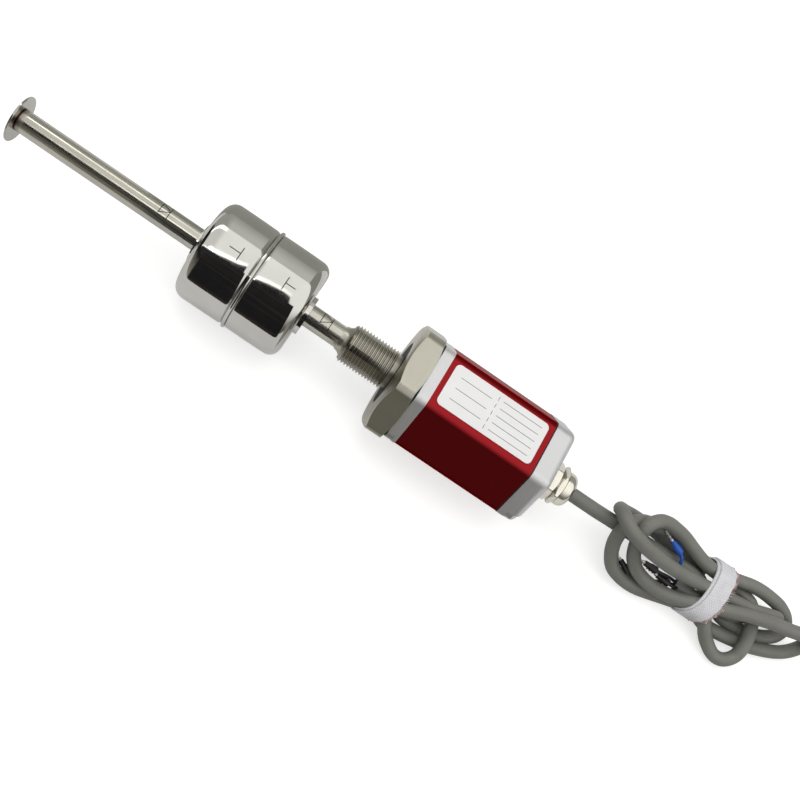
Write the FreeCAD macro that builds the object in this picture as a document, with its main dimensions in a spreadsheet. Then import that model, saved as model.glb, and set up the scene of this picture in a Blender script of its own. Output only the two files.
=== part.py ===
# Magnetostrictive level sensor, lying on a flat of its hexagon flange.
# X runs along the rod axis towards the cable, Z is up, and the origin is on the axis
# at the flange's seating face. All lengths are in millimetres.
import FreeCAD, Part
import math
import os

import Sketcher

SIZES = {
    # sensing rod and what closes its tip
    "rod_diameter": 10.0,
    "rod_wall": 1.0,
    "probe_length": 178.5,
    "rod_seat_depth": 6.0,
    "weld_clearance": 0.05,
    "plug_head_length": 3.0,
    "plug_spigot_length": 8.0,
    "plug_clearance": 0.1,
    "rivet_diameter": 5.0,
    "rivet_proud": 0.6,
    "washer_diameter": 20.8,
    "washer_thickness": 0.9,
    "washer_edge": 0.2,
    # process fitting: neck, threaded shank, hexagon flange and rear spigot, turned as one piece
    "thread_diameter": 18.0,
    "thread_length": 23.3,
    "thread_chamfer": 1.3,
    "shoulder_diameter": 13.6,
    "neck_length": 3.0,
    "neck_lip": 0.4,
    "neck_radius": 4.5,
    "undercut_diameter": 15.8,
    "undercut_width": 2.2,
    "flange_overhang": 1.5,
    "flange_corner_cut": 1.1,
    "flange_thickness": 11.0,
    "flange_face_inset": 1.1,
    "flange_chamfer_angle": 30.0,
    "flange_rear_inset": 0.3,
    "flange_rear_angle": 20.0,
    "recess_diameter": 29.8,
    "recess_depth": 1.6,
    "seal_clearance": 0.15,
    "seal_thickness": 1.5,
    "seal_round": 0.4,
    "fitting_bore": 8.0,
    "spigot_diameter": 20.0,
    # float
    "float_centre": 69.3,
    "float_length": 50.0,
    "float_diameter": 45.0,
    "float_wall": 0.4,
    "float_corner": 5.0,
    "rib_height": 0.8,
    "rib_width": 2.0,
    "float_bore": 13.0,
    "float_tube_wall": 0.5,
    "collar_diameter": 17.4,
    "collar_proud": 1.8,
    "float_side": 1.1,
    "float_lift": 0.4,
    "magnet_wall": 4.5,
    "magnet_length": 8.0,
    "magnet_clearance": 0.15,
    # housing tube and its two caps
    "housing_across": 45.0,
    "housing_corner": 4.5,
    "housing_wall": 2.5,
    "housing_length": 51.0,
    "boss_depth": 6.9,
    "cap_proud": 0.2,
    "cap_clearance": 0.1,
    "front_cap_length": 5.0,
    "rear_cap_length": 9.5,
    "rear_cap_wall": 4.0,
    "rear_cap_round": 3.0,
    "register_clearance": 0.3,
    "register_length": 3.0,
    "register_wall": 3.0,
    "gasket_thickness": 0.5,
    "gasket_inset": 1.3,
    # cap screws
    "screw_diameter": 3.0,
    "screw_head_diameter": 5.5,
    "screw_head_height": 3.0,
    "screw_length": 10.0,
    "screw_inset": 2.9,
    "screw_clearance": 0.1,
    "head_clearance": 0.25,
    "front_head_depth": 3.2,
    "rear_head_depth": 6.0,
    "notch_width": 6.6,
    "socket_across": 2.5,
    "socket_depth": 1.5,
    # label
    "label_length": 46.0,
    "label_width": 20.0,
    "label_thickness": 0.2,
    "label_corner": 2.2,
    # cable gland
    "gland_thread": 12.0,
    "gland_thread_length": 6.0,
    "gland_across": 16.0,
    "gland_turned": 18.2,
    "gland_face": 15.2,
    "gland_hex_length": 5.8,
    "gland_sleeve_length": 5.5,
    "gland_wall": 1.1,
    "gland_floor": 1.0,
    "gland_washer_diameter": 15.0,
    "gland_washer_thickness": 0.8,
    "gland_gap": 0.5,
    "nut_hex_length": 2.7,
    "nut_dome_length": 5.0,
    "nut_dome_diameter": 15.6,
    "nut_dome_round": 3.2,
    "nut_end_wall": 2.2,
    "gland_clearance": 0.1,
    # waveguide, pickup and electronics
    "wire_diameter": 0.7,
    "wire_clearance": 0.1,
    "wire_embedded": 10.0,
    "wire_beyond_coil": 1.5,
    "damper_length": 12.0,
    "sleeve_diameter": 2.4,
    "sleeve_clearance": 0.15,
    "carrier_flange": 3.0,
    "carrier_floor": 0.5,
    "carrier_wall": 2.4,
    "carrier_clearance": 1.0,
    "coil_diameter": 12.0,
    "coil_length": 8.0,
    "coil_cheek": 1.0,
    "coil_winding_depth": 0.8,
    "coil_clearance": 0.1,
    "bias_magnet_side": 4.0,
    "bias_magnet_length": 7.0,
    "board_length": 36.0,
    "board_thickness": 1.6,
    "board_clearance": 0.25,
    "terminal_length": 6.0,
    "terminal_width": 16.0,
    "terminal_rise": 2.0,
    "core_diameter": 1.0,
    "core_spacing": 1.3,
    "jacket_inside": 4.0,
    # cable and its tied hank
    "cable_diameter": 6.4,
    "lead_length": 20.0,
    "strap_width": 9.5,
    "waist_margin": 3.5,
    "strap_thickness": 1.2,
    "strap_clearance": 0.3,
    # ferrules on the cable's cores
    "ferrule_tip_diameter": 1.4,
    "ferrule_tip_length": 6.0,
    "ferrule_collar_diameter": 3.4,
    "ferrule_collar_length": 6.5,
    "ferrule_core_diameter": 1.8,
    "ferrule_core_length": 6.0,
}

# Sections of the hank: distance along it, sideways place, height of the middle above the
# floor, half width, half height. The waist is what the leaning strap goes round.
HANK_LEFT = ((0.0, 2.5, 28.0, 9.0, 9.0), (12.0, 0.5, 24.0, 14.5, 14.5), (28.0, 1.0, 16.5, 16.5, 15.0))
HANK_WAIST = (50.0, 3.4, 10.2, 15.1, 8.6)
HANK_RIGHT = ((79.0, 0.0, 12.6, 20.0, 12.6), (96.0, 5.5, 11.8, 15.0, 11.8), (115.0, 6.0, 9.6, 8.6, 8.6))
STRAP_LEAN = 18.0

# Where the two gland hexagons came to rest when they were tightened, in degrees from flat side up.
GLAND_BODY_TURN = 16.0
GLAND_NUT_TURN = 24.0

# Ferrules: distance along the hank, sideways place, height above the floor, turn about Z.
BLUE_FERRULES = ((26.4, 11.3, 20.6, -20.0),)
BLACK_FERRULES = ((13.4, -4.4, 9.5, -25.7), (30.5, -3.5, 11.0, -3.0), (21.6, -3.6, 14.0, 1.0))

# Blocks on the circuit board: distance along it, sideways place, length, width, height.
BOARD_PARTS = (
    (11.0, -13.0, 9.0, 9.0, 1.6),
    (11.5, 5.0, 8.0, 7.0, 5.0),
    (22.0, -12.0, 5.0, 8.0, 3.0),
    (22.0, 4.0, 4.0, 8.0, 2.0),
)

ALONG_X = FreeCAD.Rotation(FreeCAD.Vector(1, 1, 1), 120)
HEX_HALF_ANGLE = 30.0
CORE_COUNT = 4


class Formula:
    # A length that the sheet drives: the text for setExpression and its present value.
    def __init__(self, text, value):
        self.text = text
        self.value = value

    def __add__(self, other):
        other = formula(other)
        return Formula(f"({self.text} + {other.text})", self.value + other.value)

    def __sub__(self, other):
        other = formula(other)
        return Formula(f"({self.text} - {other.text})", self.value - other.value)

    def __mul__(self, other):
        other = formula(other)
        return Formula(f"({self.text} * {other.text})", self.value * other.value)

    def __truediv__(self, other):
        other = formula(other)
        return Formula(f"({self.text} / {other.text})", self.value / other.value)

    def __radd__(self, other):
        return formula(other) + self

    def __rsub__(self, other):
        return formula(other) - self

    def __rmul__(self, other):
        return formula(other) * self

    def __neg__(self):
        return formula(0) - self


def formula(number):
    if isinstance(number, Formula):
        return number
    return Formula(f"({float(number)})", float(number))


def tangent(degrees):
    degrees = formula(degrees)
    return Formula(f"tan({degrees.text} * 1 deg)", math.tan(math.radians(degrees.value)))


def cosine(degrees):
    degrees = formula(degrees)
    return Formula(f"cos({degrees.text} * 1 deg)", math.cos(math.radians(degrees.value)))


def smaller(first, second):
    return Formula(f"min({first.text}; {second.text})", min(first.value, second.value))


doc = FreeCAD.newDocument("level_sensor")
sheet = doc.addObject("Spreadsheet::Sheet", "sizes")
for row, (alias, number) in enumerate(SIZES.items(), start=1):
    sheet.set(f"A{row}", alias)
    sheet.set(f"B{row}", str(number))
    sheet.setAlias(f"B{row}", alias)
doc.recompute()


class Sheet:
    # Named access to the driving sizes.
    def __getattr__(self, alias):
        return Formula(f"sizes.{alias}", SIZES[alias])


s = Sheet()
nodes = []


def bind(obj, path, length):
    obj.setExpression(path, formula(length).text)


def place(obj, x=0, y=0, z=0):
    for axis, length in zip("xyz", (x, y, z)):
        bind(obj, f"Placement.Base.{axis}", length)
    return obj


def node(obj):
    obj.Label = obj.Name
    nodes.append(obj)
    return obj


def new_sketch(body, role):
    sketch = body.newObject("Sketcher::SketchObject", f"{body.Name}_sketch")
    plane = next(item for item in body.Origin.OriginFeatures if item.Role == role)
    sketch.AttachmentSupport = [(plane, "")]
    sketch.MapMode = "FlatFace"
    return sketch


def arc_between(start, end, radius, side):
    # The short arc of this radius from start to end, its centre on the left for side 1.
    chord = end - start
    left = FreeCAD.Vector(-chord.y, chord.x, 0).normalize()
    rise = math.sqrt(max(radius ** 2 - (chord.Length / 2) ** 2, 0))
    centre = (start + end) / 2 + left * rise * side
    angles = [math.atan2(point.y - centre.y, point.x - centre.x) for point in (start, end)]
    if side < 0:
        angles.reverse()
    circle = Part.Circle(centre, FreeCAD.Vector(0, 0, 1), radius)
    return Part.ArcOfCircle(circle, angles[0], angles[1])


def hold_point(sketch, geometry, end, across, up):
    # Ties one point of the sketch to the origin by its two lengths.
    for kind, axis, length in (("DistanceX", -2, across), ("DistanceY", -1, up)):
        if formula(length).value == 0:
            sketch.addConstraint(Sketcher.Constraint("PointOnObject", geometry, end, axis))
        else:
            held = Sketcher.Constraint(kind, -1, 1, geometry, end, formula(length).value)
            bind(sketch, f"Constraints[{sketch.addConstraint(held)}]", length)


def draw_outline(sketch, outline):
    # Closed outline of (across, up) points. A third and fourth item make the stretch that
    # starts there an arc: its radius, and the side of its centre.
    points = [FreeCAD.Vector(formula(item[0]).value, formula(item[1]).value, 0) for item in outline]
    ends = []
    for index, item in enumerate(outline):
        start = points[index]
        end = points[(index + 1) % len(points)]
        if len(item) == 2:
            ends.append((sketch.addGeometry(Part.LineSegment(start, end), False), 1, 2))
            continue
        arc = sketch.addGeometry(arc_between(start, end, item[2].value, item[3]), False)
        ends.append((arc, 1, 2) if item[3] > 0 else (arc, 2, 1))
    for index, (geometry, first, last) in enumerate(ends):
        following = ends[(index + 1) % len(ends)]
        sketch.addConstraint(Sketcher.Constraint("Coincident", geometry, last, following[0], following[1]))
    for (geometry, first, last), item in zip(ends, outline):
        hold_point(sketch, geometry, first, item[0], item[1])
        if len(item) > 2:
            radius = Sketcher.Constraint("Radius", geometry, item[2].value)
            bind(sketch, f"Constraints[{sketch.addConstraint(radius)}]", item[2])


def turned(name, x, outline, y=0, z=0):
    # A piece turned about the X direction from an outline of (along, radius) points.
    body = doc.addObject("PartDesign::Body", name)
    sketch = new_sketch(body, "XY_Plane")
    draw_outline(sketch, outline)
    spin = body.newObject("PartDesign::Revolution", f"{name}_spin")
    spin.Profile = sketch
    spin.ReferenceAxis = (sketch, ["H_Axis"])
    return place(body, x, y, z)


def ring(name, x, length, outer, inner, y=0, z=0):
    return turned(name, x, [(0, inner), (0, outer), (length, outer), (length, inner)], y, z)


def mirrored(outline, length):
    # The same outline seen from its other end.
    flipped = []
    for item in outline:
        along = length - item[0]
        flipped.append((along, item[1]) if len(item) == 2 else (along, item[1], item[2], -item[3]))
    return flipped


def round_edges(body, base, radius, chosen, name):
    # A fillet on the edges of the last feature that the test picks.
    doc.recompute()
    edges = [f"Edge{i}" for i, edge in enumerate(base.Shape.Edges, start=1) if chosen(edge)]
    fillet = body.newObject("PartDesign::Fillet", name)
    fillet.Base = (base, edges)
    bind(fillet, "Radius", radius)
    return fillet


def runs_along(edge, axis):
    # True for an edge that keeps to one axis.
    spread = [edge.BoundBox.XLength, edge.BoundBox.YLength, edge.BoundBox.ZLength]
    return all(size < 1e-6 for index, size in enumerate(spread) if index != axis)


def hexagon_bar(name, x, length, across, corner, end_round=None):
    # A bar of hexagon section with flats above and below and rounded corners.
    body = doc.addObject("PartDesign::Body", name)
    sketch = new_sketch(body, "YZ_Plane")
    radius = across / 2 / cosine(HEX_HALF_ANGLE)
    turns = [math.radians(60 * step) for step in range(6)]
    corners = [FreeCAD.Vector(math.cos(t), math.sin(t), 0) * radius.value for t in turns]
    circle = sketch.addGeometry(Part.Circle(FreeCAD.Vector(), FreeCAD.Vector(0, 0, 1), radius.value), True)
    sides = [sketch.addGeometry(Part.LineSegment(corners[i], corners[(i + 1) % 6]), False) for i in range(6)]
    sketch.addConstraint(Sketcher.Constraint("Coincident", circle, 3, -1, 1))
    for index, side in enumerate(sides):
        sketch.addConstraint(Sketcher.Constraint("Coincident", side, 2, sides[(index + 1) % 6], 1))
        sketch.addConstraint(Sketcher.Constraint("PointOnObject", side, 1, circle))
        if index:
            sketch.addConstraint(Sketcher.Constraint("Equal", sides[0], side))
    sketch.addConstraint(Sketcher.Constraint("Horizontal", sides[1]))
    held = sketch.addConstraint(Sketcher.Constraint("Radius", circle, radius.value))
    bind(sketch, f"Constraints[{held}]", radius)
    pad = body.newObject("PartDesign::Pad", f"{name}_pad")
    pad.Profile = sketch
    bind(pad, "Length", length)
    rounded = round_edges(body, pad, corner, lambda edge: runs_along(edge, 0), f"{name}_corners")
    if end_round is not None:
        doc.recompute()
        far = rounded.Shape.BoundBox.XMax
        round_edges(body, rounded, end_round, lambda edge: edge.BoundBox.XMin > far - 1e-6, f"{name}_end")
    return place(body, x)


def hexagon_tool(name, x, length, across, turn=0.0):
    # A plain hexagon prism for booleans, with flats above and below unless it is turned.
    prism = doc.addObject("Part::Prism", name)
    prism.Polygon = 6
    bind(prism, "Circumradius", across / 2 / cosine(HEX_HALF_ANGLE))
    bind(prism, "Height", length)
    prism.Placement.Rotation = FreeCAD.Rotation(FreeCAD.Vector(1, 0, 0), turn) * ALONG_X
    return place(prism, x)


def round_bar(name, x, length, radius, y=0, z=0):
    bar = doc.addObject("Part::Cylinder", name)
    bind(bar, "Radius", radius)
    bind(bar, "Height", length)
    bar.Placement.Rotation = ALONG_X
    return place(bar, x, y, z)


def block(name, x, y, z, length, width, height):
    box = doc.addObject("Part::Box", name)
    bind(box, "Length", length)
    bind(box, "Width", width)
    bind(box, "Height", height)
    return place(box, x, y, z)


def cut(name, base, tool):
    made = doc.addObject("Part::Cut", name)
    made.Base = base
    made.Tool = tool
    return made


def common(name, base, tool):
    made = doc.addObject("Part::Common", name)
    made.Base = base
    made.Tool = tool
    return made


def fuse(name, items):
    made = doc.addObject("Part::MultiFuse", name)
    made.Shapes = items
    return made


def group(name, items):
    made = doc.addObject("Part::Compound", name)
    made.Links = items
    return made


# Places and sizes that follow from the sheet
flange_across = s.housing_across + 2 * s.flange_overhang
flange_turned = flange_across / cosine(HEX_HALF_ANGLE) - 2 * s.flange_corner_cut
flange_face = flange_across - 2 * s.flange_face_inset
flange_rear_face = flange_across - 2 * s.flange_rear_inset
floor_z = -flange_across / 2
rod_inner = s.rod_diameter / 2 - s.rod_wall
rod_bore = s.rod_diameter / 2 + s.weld_clearance
plug_x = -(s.probe_length + s.plug_head_length)
washer_x = plug_x - s.washer_thickness
tube_x = s.flange_thickness + s.front_cap_length
tube_end_x = tube_x + s.housing_length
rear_cap_x = tube_end_x + s.gasket_thickness
rear_face_x = rear_cap_x + s.rear_cap_length
cap_across = s.housing_across + 2 * s.cap_proud
cap_corner = s.housing_corner + s.cap_proud
inner_across = s.housing_across - 2 * s.housing_wall
corner_tip = (s.housing_across / 2 - s.housing_corner) / cosine(HEX_HALF_ANGLE) + s.housing_corner
boss_face = corner_tip - s.boss_depth
register_radius = smaller(boss_face, inner_across / 2) - s.register_clearance
register_bore = register_radius - s.register_wall
screw_y = corner_tip - s.screw_inset
screw_hole = s.screw_diameter / 2 + s.screw_clearance
head_hole = s.screw_head_diameter / 2 + s.head_clearance
notch_reach = s.screw_inset + 2 * s.cap_proud
cable_radius = s.cable_diameter / 2
gland_x = rear_face_x - s.gland_thread_length
gland_sleeve_x = rear_face_x + s.gland_washer_thickness + s.gland_hex_length
nut_x = gland_sleeve_x + s.gland_gap
gland_end_x = nut_x + s.nut_hex_length + s.nut_dome_length
cable_hole = cable_radius + s.gland_clearance
damper_x = -(s.probe_length - s.plug_spigot_length)
damper_end_x = damper_x + s.damper_length
liner_radius = rod_inner - s.sleeve_clearance
wire_hole = s.wire_diameter / 2 + s.wire_clearance
sleeve_hole = s.sleeve_diameter / 2 + s.sleeve_clearance
carrier_x = tube_x + s.register_length
coil_x = carrier_x + s.carrier_flange + s.carrier_floor
coil_pocket = s.coil_diameter / 2 + s.coil_clearance
hub_radius = coil_pocket + s.carrier_wall
board_x = carrier_x + s.carrier_flange + s.board_clearance
board_top_z = -(hub_radius + s.board_clearance)
board_bottom_z = board_top_z - s.board_thickness
board_half = (inner_across + board_bottom_z) * tangent(HEX_HALF_ANGLE) - s.board_clearance
terminal_x = board_x + s.board_length - s.terminal_length
jacket_x = gland_x - s.jacket_inside
hank_x = gland_end_x + s.lead_length


def sensing_rod():
    length = s.probe_length + s.rod_seat_depth
    node(ring("sensing_rod", -s.probe_length, length, s.rod_diameter / 2, rod_inner))

    stem = s.rivet_proud + s.washer_thickness
    head_end = stem + s.plug_head_length
    spigot = rod_inner - s.plug_clearance
    node(turned("rod_end_plug", washer_x - s.rivet_proud, [
        (0, 0),
        (0, s.rivet_diameter / 2),
        (stem, s.rivet_diameter / 2),
        (stem, s.rod_diameter / 2),
        (head_end, s.rod_diameter / 2),
        (head_end, spigot),
        (head_end + s.plug_spigot_length, spigot),
        (head_end + s.plug_spigot_length, 0),
    ]))

    edge = s.washer_edge
    rim = s.washer_diameter / 2
    hole = s.rivet_diameter / 2 + s.weld_clearance
    node(turned("stop_washer", washer_x, [
        (0, hole),
        (0, rim - edge),
        (edge, rim),
        (s.washer_thickness - edge, rim),
        (s.washer_thickness, rim - edge),
        (s.washer_thickness, hole),
    ]))


def process_fitting():
    thread = s.thread_diameter / 2
    seat = s.neck_length + s.thread_length
    rear = seat + s.flange_thickness
    tail = rear + s.front_cap_length + s.register_length
    rise = (flange_turned - flange_face) / 2 * tangent(s.flange_chamfer_angle)
    fall = (flange_turned - flange_rear_face) / 2 * tangent(s.flange_rear_angle)
    blank = turned("fitting_blank", -seat, [
        (0, rod_bore),
        (0, rod_bore + s.neck_lip, s.neck_radius, 1),
        (s.neck_length, s.shoulder_diameter / 2),
        (s.neck_length, thread - s.thread_chamfer),
        (s.neck_length + s.thread_chamfer, thread),
        (seat - s.undercut_width, thread),
        (seat - s.undercut_width, s.undercut_diameter / 2),
        (seat + s.recess_depth, s.undercut_diameter / 2),
        (seat + s.recess_depth, s.recess_diameter / 2),
        (seat, s.recess_diameter / 2),
        (seat, flange_face / 2),
        (seat + rise, flange_turned / 2),
        (rear - fall, flange_turned / 2),
        (rear, flange_rear_face / 2),
        (rear, s.spigot_diameter / 2),
        (tail, s.spigot_diameter / 2),
        (tail, s.fitting_bore / 2),
        (seat + s.rod_seat_depth, s.fitting_bore / 2),
        (seat + s.rod_seat_depth, rod_bore),
    ])
    flats = hexagon_tool("fitting_flats", -seat, tail, flange_across)
    node(common("process_fitting", blank, flats))

    outer = s.recess_diameter / 2 - s.seal_clearance
    inner = s.undercut_diameter / 2 + s.seal_clearance
    node(turned("sealing_ring", s.recess_depth - s.seal_thickness, [
        (0, inner),
        (0, outer - s.seal_round),
        (s.seal_round, outer),
        (s.seal_thickness, outer),
        (s.seal_thickness, inner),
    ]))


def float_shells():
    half = s.float_length / 2
    outside = s.float_diameter / 2
    inside = outside - s.float_wall
    hole = s.collar_diameter / 2 + s.weld_clearance
    corner = s.float_corner
    rib_start = half - s.rib_width / 2
    outline = [
        (formula(0), hole),
        (formula(0), outside - corner, corner, -1),
        (corner, outside),
        (rib_start, outside),
        (rib_start, outside + s.rib_height),
        (half, outside + s.rib_height),
        (half, inside),
        (corner, inside, corner - s.float_wall, 1),
        (s.float_wall, outside - corner),
        (s.float_wall, hole),
    ]
    start = -(s.float_centre + half)
    node(turned("float_front_shell", start, outline, -s.float_side, s.float_lift))
    node(turned("float_rear_shell", start + half, mirrored(outline, half), -s.float_side, s.float_lift))

    bore = s.float_bore / 2
    tube = bore + s.float_tube_wall
    collar_rim = s.collar_diameter / 2
    collar = s.collar_proud + s.float_wall
    length = s.float_length + 2 * s.collar_proud
    node(turned("float_centre_tube", start - s.collar_proud, [
        (0, bore),
        (0, collar_rim),
        (collar, collar_rim),
        (collar, tube),
        (length - collar, tube),
        (length - collar, collar_rim),
        (length, collar_rim),
        (length, bore),
    ], -s.float_side, s.float_lift))
    seat = tube + s.magnet_clearance
    node(ring("float_magnet", -(s.float_centre + s.magnet_length / 2), s.magnet_length,
              seat + s.magnet_wall, seat, -s.float_side, s.float_lift))


def cap_holes(name, face_x, inward, depth, reach):
    # Screw holes, and notches for the heads that are open at the two side corners, from the cap's outer face.
    tools = []
    for side, where in ((-1, "near"), (1, "far")):
        low = face_x if inward > 0 else face_x - reach
        head = face_x if inward > 0 else face_x - depth
        tools.append(round_bar(f"{name}_hole_{where}", low, reach, screw_hole, side * screw_y))
        tools.append(round_bar(f"{name}_pocket_{where}", head, depth, head_hole, side * screw_y))
        open_y = screw_y if side > 0 else -(screw_y + notch_reach)
        tools.append(block(f"{name}_notch_{where}", head, open_y, -s.notch_width / 2,
                           depth, notch_reach, s.notch_width))
    return tools


def cap_screws(name, under_head_x, inward):
    # Socket-head screws at the two side corners, their heads on the outer side.
    shank = s.screw_diameter / 2
    head = s.screw_head_diameter / 2
    tall = s.screw_head_height
    outline = [
        (formula(0), 0),
        (formula(0), head),
        (tall, head),
        (tall, shank),
        (tall + s.screw_length, shank),
        (tall + s.screw_length, 0),
    ]
    screws = []
    for side, where in ((-1, "near"), (1, "far")):
        if inward > 0:
            start = under_head_x - tall
            socket_x = start
            blank = turned(f"{name}_{where}_blank", start, outline, side * screw_y)
        else:
            start = under_head_x - s.screw_length
            socket_x = under_head_x + tall - s.socket_depth
            flipped = mirrored(outline, tall + s.screw_length)
            blank = turned(f"{name}_{where}_blank", start, flipped, side * screw_y)
        socket = hexagon_tool(f"{name}_{where}_socket", socket_x, s.socket_depth, s.socket_across)
        place(socket, socket_x, side * screw_y)
        screws.append(cut(f"{name}_{where}", blank, socket))
    node(group(name, screws))


def front_cap():
    start = s.flange_thickness
    length = s.front_cap_length
    bar = hexagon_bar("front_cap_bar", start, length, cap_across, cap_corner)
    register = round_bar("front_cap_register", tube_x, s.register_length, register_radius)
    blank = fuse("front_cap_blank", [bar, register])
    bore = round_bar("front_cap_bore", start, length + s.register_length,
                     s.spigot_diameter / 2 + s.cap_clearance)
    bed_across = s.housing_across - 2 * s.gasket_inset + 2 * s.cap_clearance
    bed = cut("front_cap_bed",
              hexagon_tool("front_cap_bed_outside", tube_x - s.gasket_thickness, s.gasket_thickness, bed_across),
              round_bar("front_cap_bed_inside", tube_x - s.gasket_thickness, s.gasket_thickness, register_radius))
    holes = cap_holes("front_cap", start, 1, s.front_head_depth, length)
    node(cut("front_cap", blank, fuse("front_cap_cuts", [bore, bed] + holes)))
    cap_screws("front_cap_screws", start + s.front_head_depth, 1)

    gasket_x = tube_x - s.gasket_thickness
    across = s.housing_across - 2 * s.gasket_inset
    sheet_blank = hexagon_bar("front_gasket_blank", gasket_x, s.gasket_thickness, across, s.housing_corner)
    openings = [round_bar("front_gasket_bore", gasket_x, s.gasket_thickness,
                          register_radius + s.cap_clearance)]
    for side, where in ((-1, "near"), (1, "far")):
        openings.append(round_bar(f"front_gasket_hole_{where}", gasket_x, s.gasket_thickness,
                                  screw_hole + s.cap_clearance, side * screw_y))
    node(cut("front_gasket", sheet_blank, fuse("front_gasket_openings", openings)))


def housing_tube():
    bar = hexagon_bar("tube_bar", tube_x, s.housing_length, s.housing_across, s.housing_corner)
    cavity = common("tube_cavity",
                    hexagon_tool("tube_inside", tube_x, s.housing_length, inner_across),
                    block("tube_between_bosses", tube_x, -boss_face, -s.housing_across,
                          s.housing_length, 2 * boss_face, 2 * s.housing_across))
    tools = [cavity]
    for side, where in ((-1, "near"), (1, "far")):
        tools.append(round_bar(f"tube_hole_{where}", tube_x, s.housing_length, screw_hole, side * screw_y))
    node(cut("housing_tube", bar, fuse("tube_cuts", tools)))


def rear_cap():
    bar = hexagon_bar("rear_cap_bar", rear_cap_x, s.rear_cap_length, cap_across, cap_corner, s.rear_cap_round)
    register_x = tube_end_x - s.register_length
    register = round_bar("rear_cap_register", register_x, s.register_length + s.gasket_thickness,
                         register_radius)
    blank = fuse("rear_cap_blank", [bar, register])
    hollow = round_bar("rear_cap_hollow", register_x, rear_face_x - s.rear_cap_wall - register_x,
                       register_bore)
    gland_hole = round_bar("rear_cap_gland_hole", register_x, rear_face_x - register_x,
                           s.gland_thread / 2 + s.cap_clearance)
    holes = cap_holes("rear_cap", rear_face_x, -1, s.rear_head_depth, s.rear_cap_length)
    node(cut("rear_cap", blank, fuse("rear_cap_cuts", [hollow, gland_hole] + holes)))
    cap_screws("rear_cap_screws", rear_face_x - s.rear_head_depth, -1)

    sheet_blank = hexagon_bar("rear_gasket_blank", tube_end_x, s.gasket_thickness,
                              s.housing_across, s.housing_corner)
    openings = [round_bar("rear_gasket_bore", tube_end_x, s.gasket_thickness,
                          register_radius + s.cap_clearance)]
    for side, where in ((-1, "near"), (1, "far")):
        openings.append(round_bar(f"rear_gasket_hole_{where}", tube_end_x, s.gasket_thickness,
                                  screw_hole + s.cap_clearance, side * screw_y))
    node(cut("rear_gasket", sheet_blank, fuse("rear_gasket_openings", openings)))


def label_plate():
    body = doc.addObject("PartDesign::Body", "label_plate")
    sketch = new_sketch(body, "XY_Plane")
    draw_outline(sketch, [(0, 0), (s.label_length, 0), (s.label_length, s.label_width), (0, s.label_width)])
    pad = body.newObject("PartDesign::Pad", "label_pad")
    pad.Profile = sketch
    bind(pad, "Length", s.label_thickness)
    round_edges(body, pad, s.label_corner, lambda edge: runs_along(edge, 2), "label_corners")
    start = tube_x + (s.housing_length - s.label_length) / 2
    node(place(body, start, -s.label_width / 2, s.housing_across / 2))


def gland_hexagon(start, length):
    # The chamfered hexagon stretch of a gland piece, before its flats are cut.
    rise = (s.gland_turned - s.gland_face) / 2 * tangent(HEX_HALF_ANGLE)
    return [
        (start, s.gland_face / 2),
        (start + rise, s.gland_turned / 2),
        (start + length - rise, s.gland_turned / 2),
        (start + length, s.gland_face / 2),
    ]


def cable_gland():
    thread = s.gland_thread / 2
    pocket = thread - s.gland_wall
    shoulder = s.gland_thread_length + s.gland_washer_thickness
    sleeve = shoulder + s.gland_hex_length
    tip = sleeve + s.gland_sleeve_length
    outline = [(0, cable_hole), (0, thread), (shoulder, thread)]
    outline += gland_hexagon(shoulder, s.gland_hex_length)
    outline += [
        (sleeve, thread),
        (tip, thread),
        (tip, pocket),
        (sleeve + s.gland_floor, pocket),
        (sleeve + s.gland_floor, cable_hole),
    ]
    blank = turned("gland_body_blank", gland_x, outline)
    flats = hexagon_tool("gland_body_flats", gland_x, tip, s.gland_across, GLAND_BODY_TURN)
    node(common("gland_body", blank, flats))
    node(ring("gland_washer", rear_face_x, s.gland_washer_thickness, s.gland_washer_diameter / 2,
              thread + s.gland_clearance))
    node(ring("gland_seal", gland_sleeve_x + s.gland_floor, s.gland_sleeve_length - s.gland_floor,
              pocket - s.gland_clearance, cable_hole))

    cavity = thread + s.gland_clearance
    dome = s.nut_dome_diameter / 2
    end = s.nut_hex_length + s.nut_dome_length
    bend = s.nut_dome_round
    inside = end - s.nut_end_wall
    outline = [(0, cavity)]
    outline += gland_hexagon(formula(0), s.nut_hex_length)
    outline += [
        (s.nut_hex_length, dome),
        (end - bend, dome, bend, -1),
        (end, dome - bend),
        (end, cable_hole),
        (inside, cable_hole),
        (inside, cavity),
    ]
    blank = turned("gland_nut_blank", nut_x, outline)
    flats = hexagon_tool("gland_nut_flats", nut_x, end, s.gland_across, GLAND_NUT_TURN)
    node(common("gland_nut", blank, flats))


def waveguide():
    floor = s.damper_length - s.wire_embedded
    node(turned("end_damper", damper_x, [
        (0, 0),
        (0, liner_radius),
        (s.damper_length, liner_radius),
        (s.damper_length, wire_hole),
        (floor, wire_hole),
        (floor, 0),
    ]))
    start = damper_x + floor
    length = coil_x + s.coil_length + s.wire_beyond_coil - start
    node(round_bar("waveguide_wire", start, length, s.wire_diameter / 2))
    node(ring("waveguide_sleeve", damper_end_x, coil_x - s.carrier_floor - damper_end_x,
              s.sleeve_diameter / 2, wire_hole))
    node(ring("centring_sleeve", damper_end_x, s.rod_seat_depth - damper_end_x, liner_radius, sleeve_hole))


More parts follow.
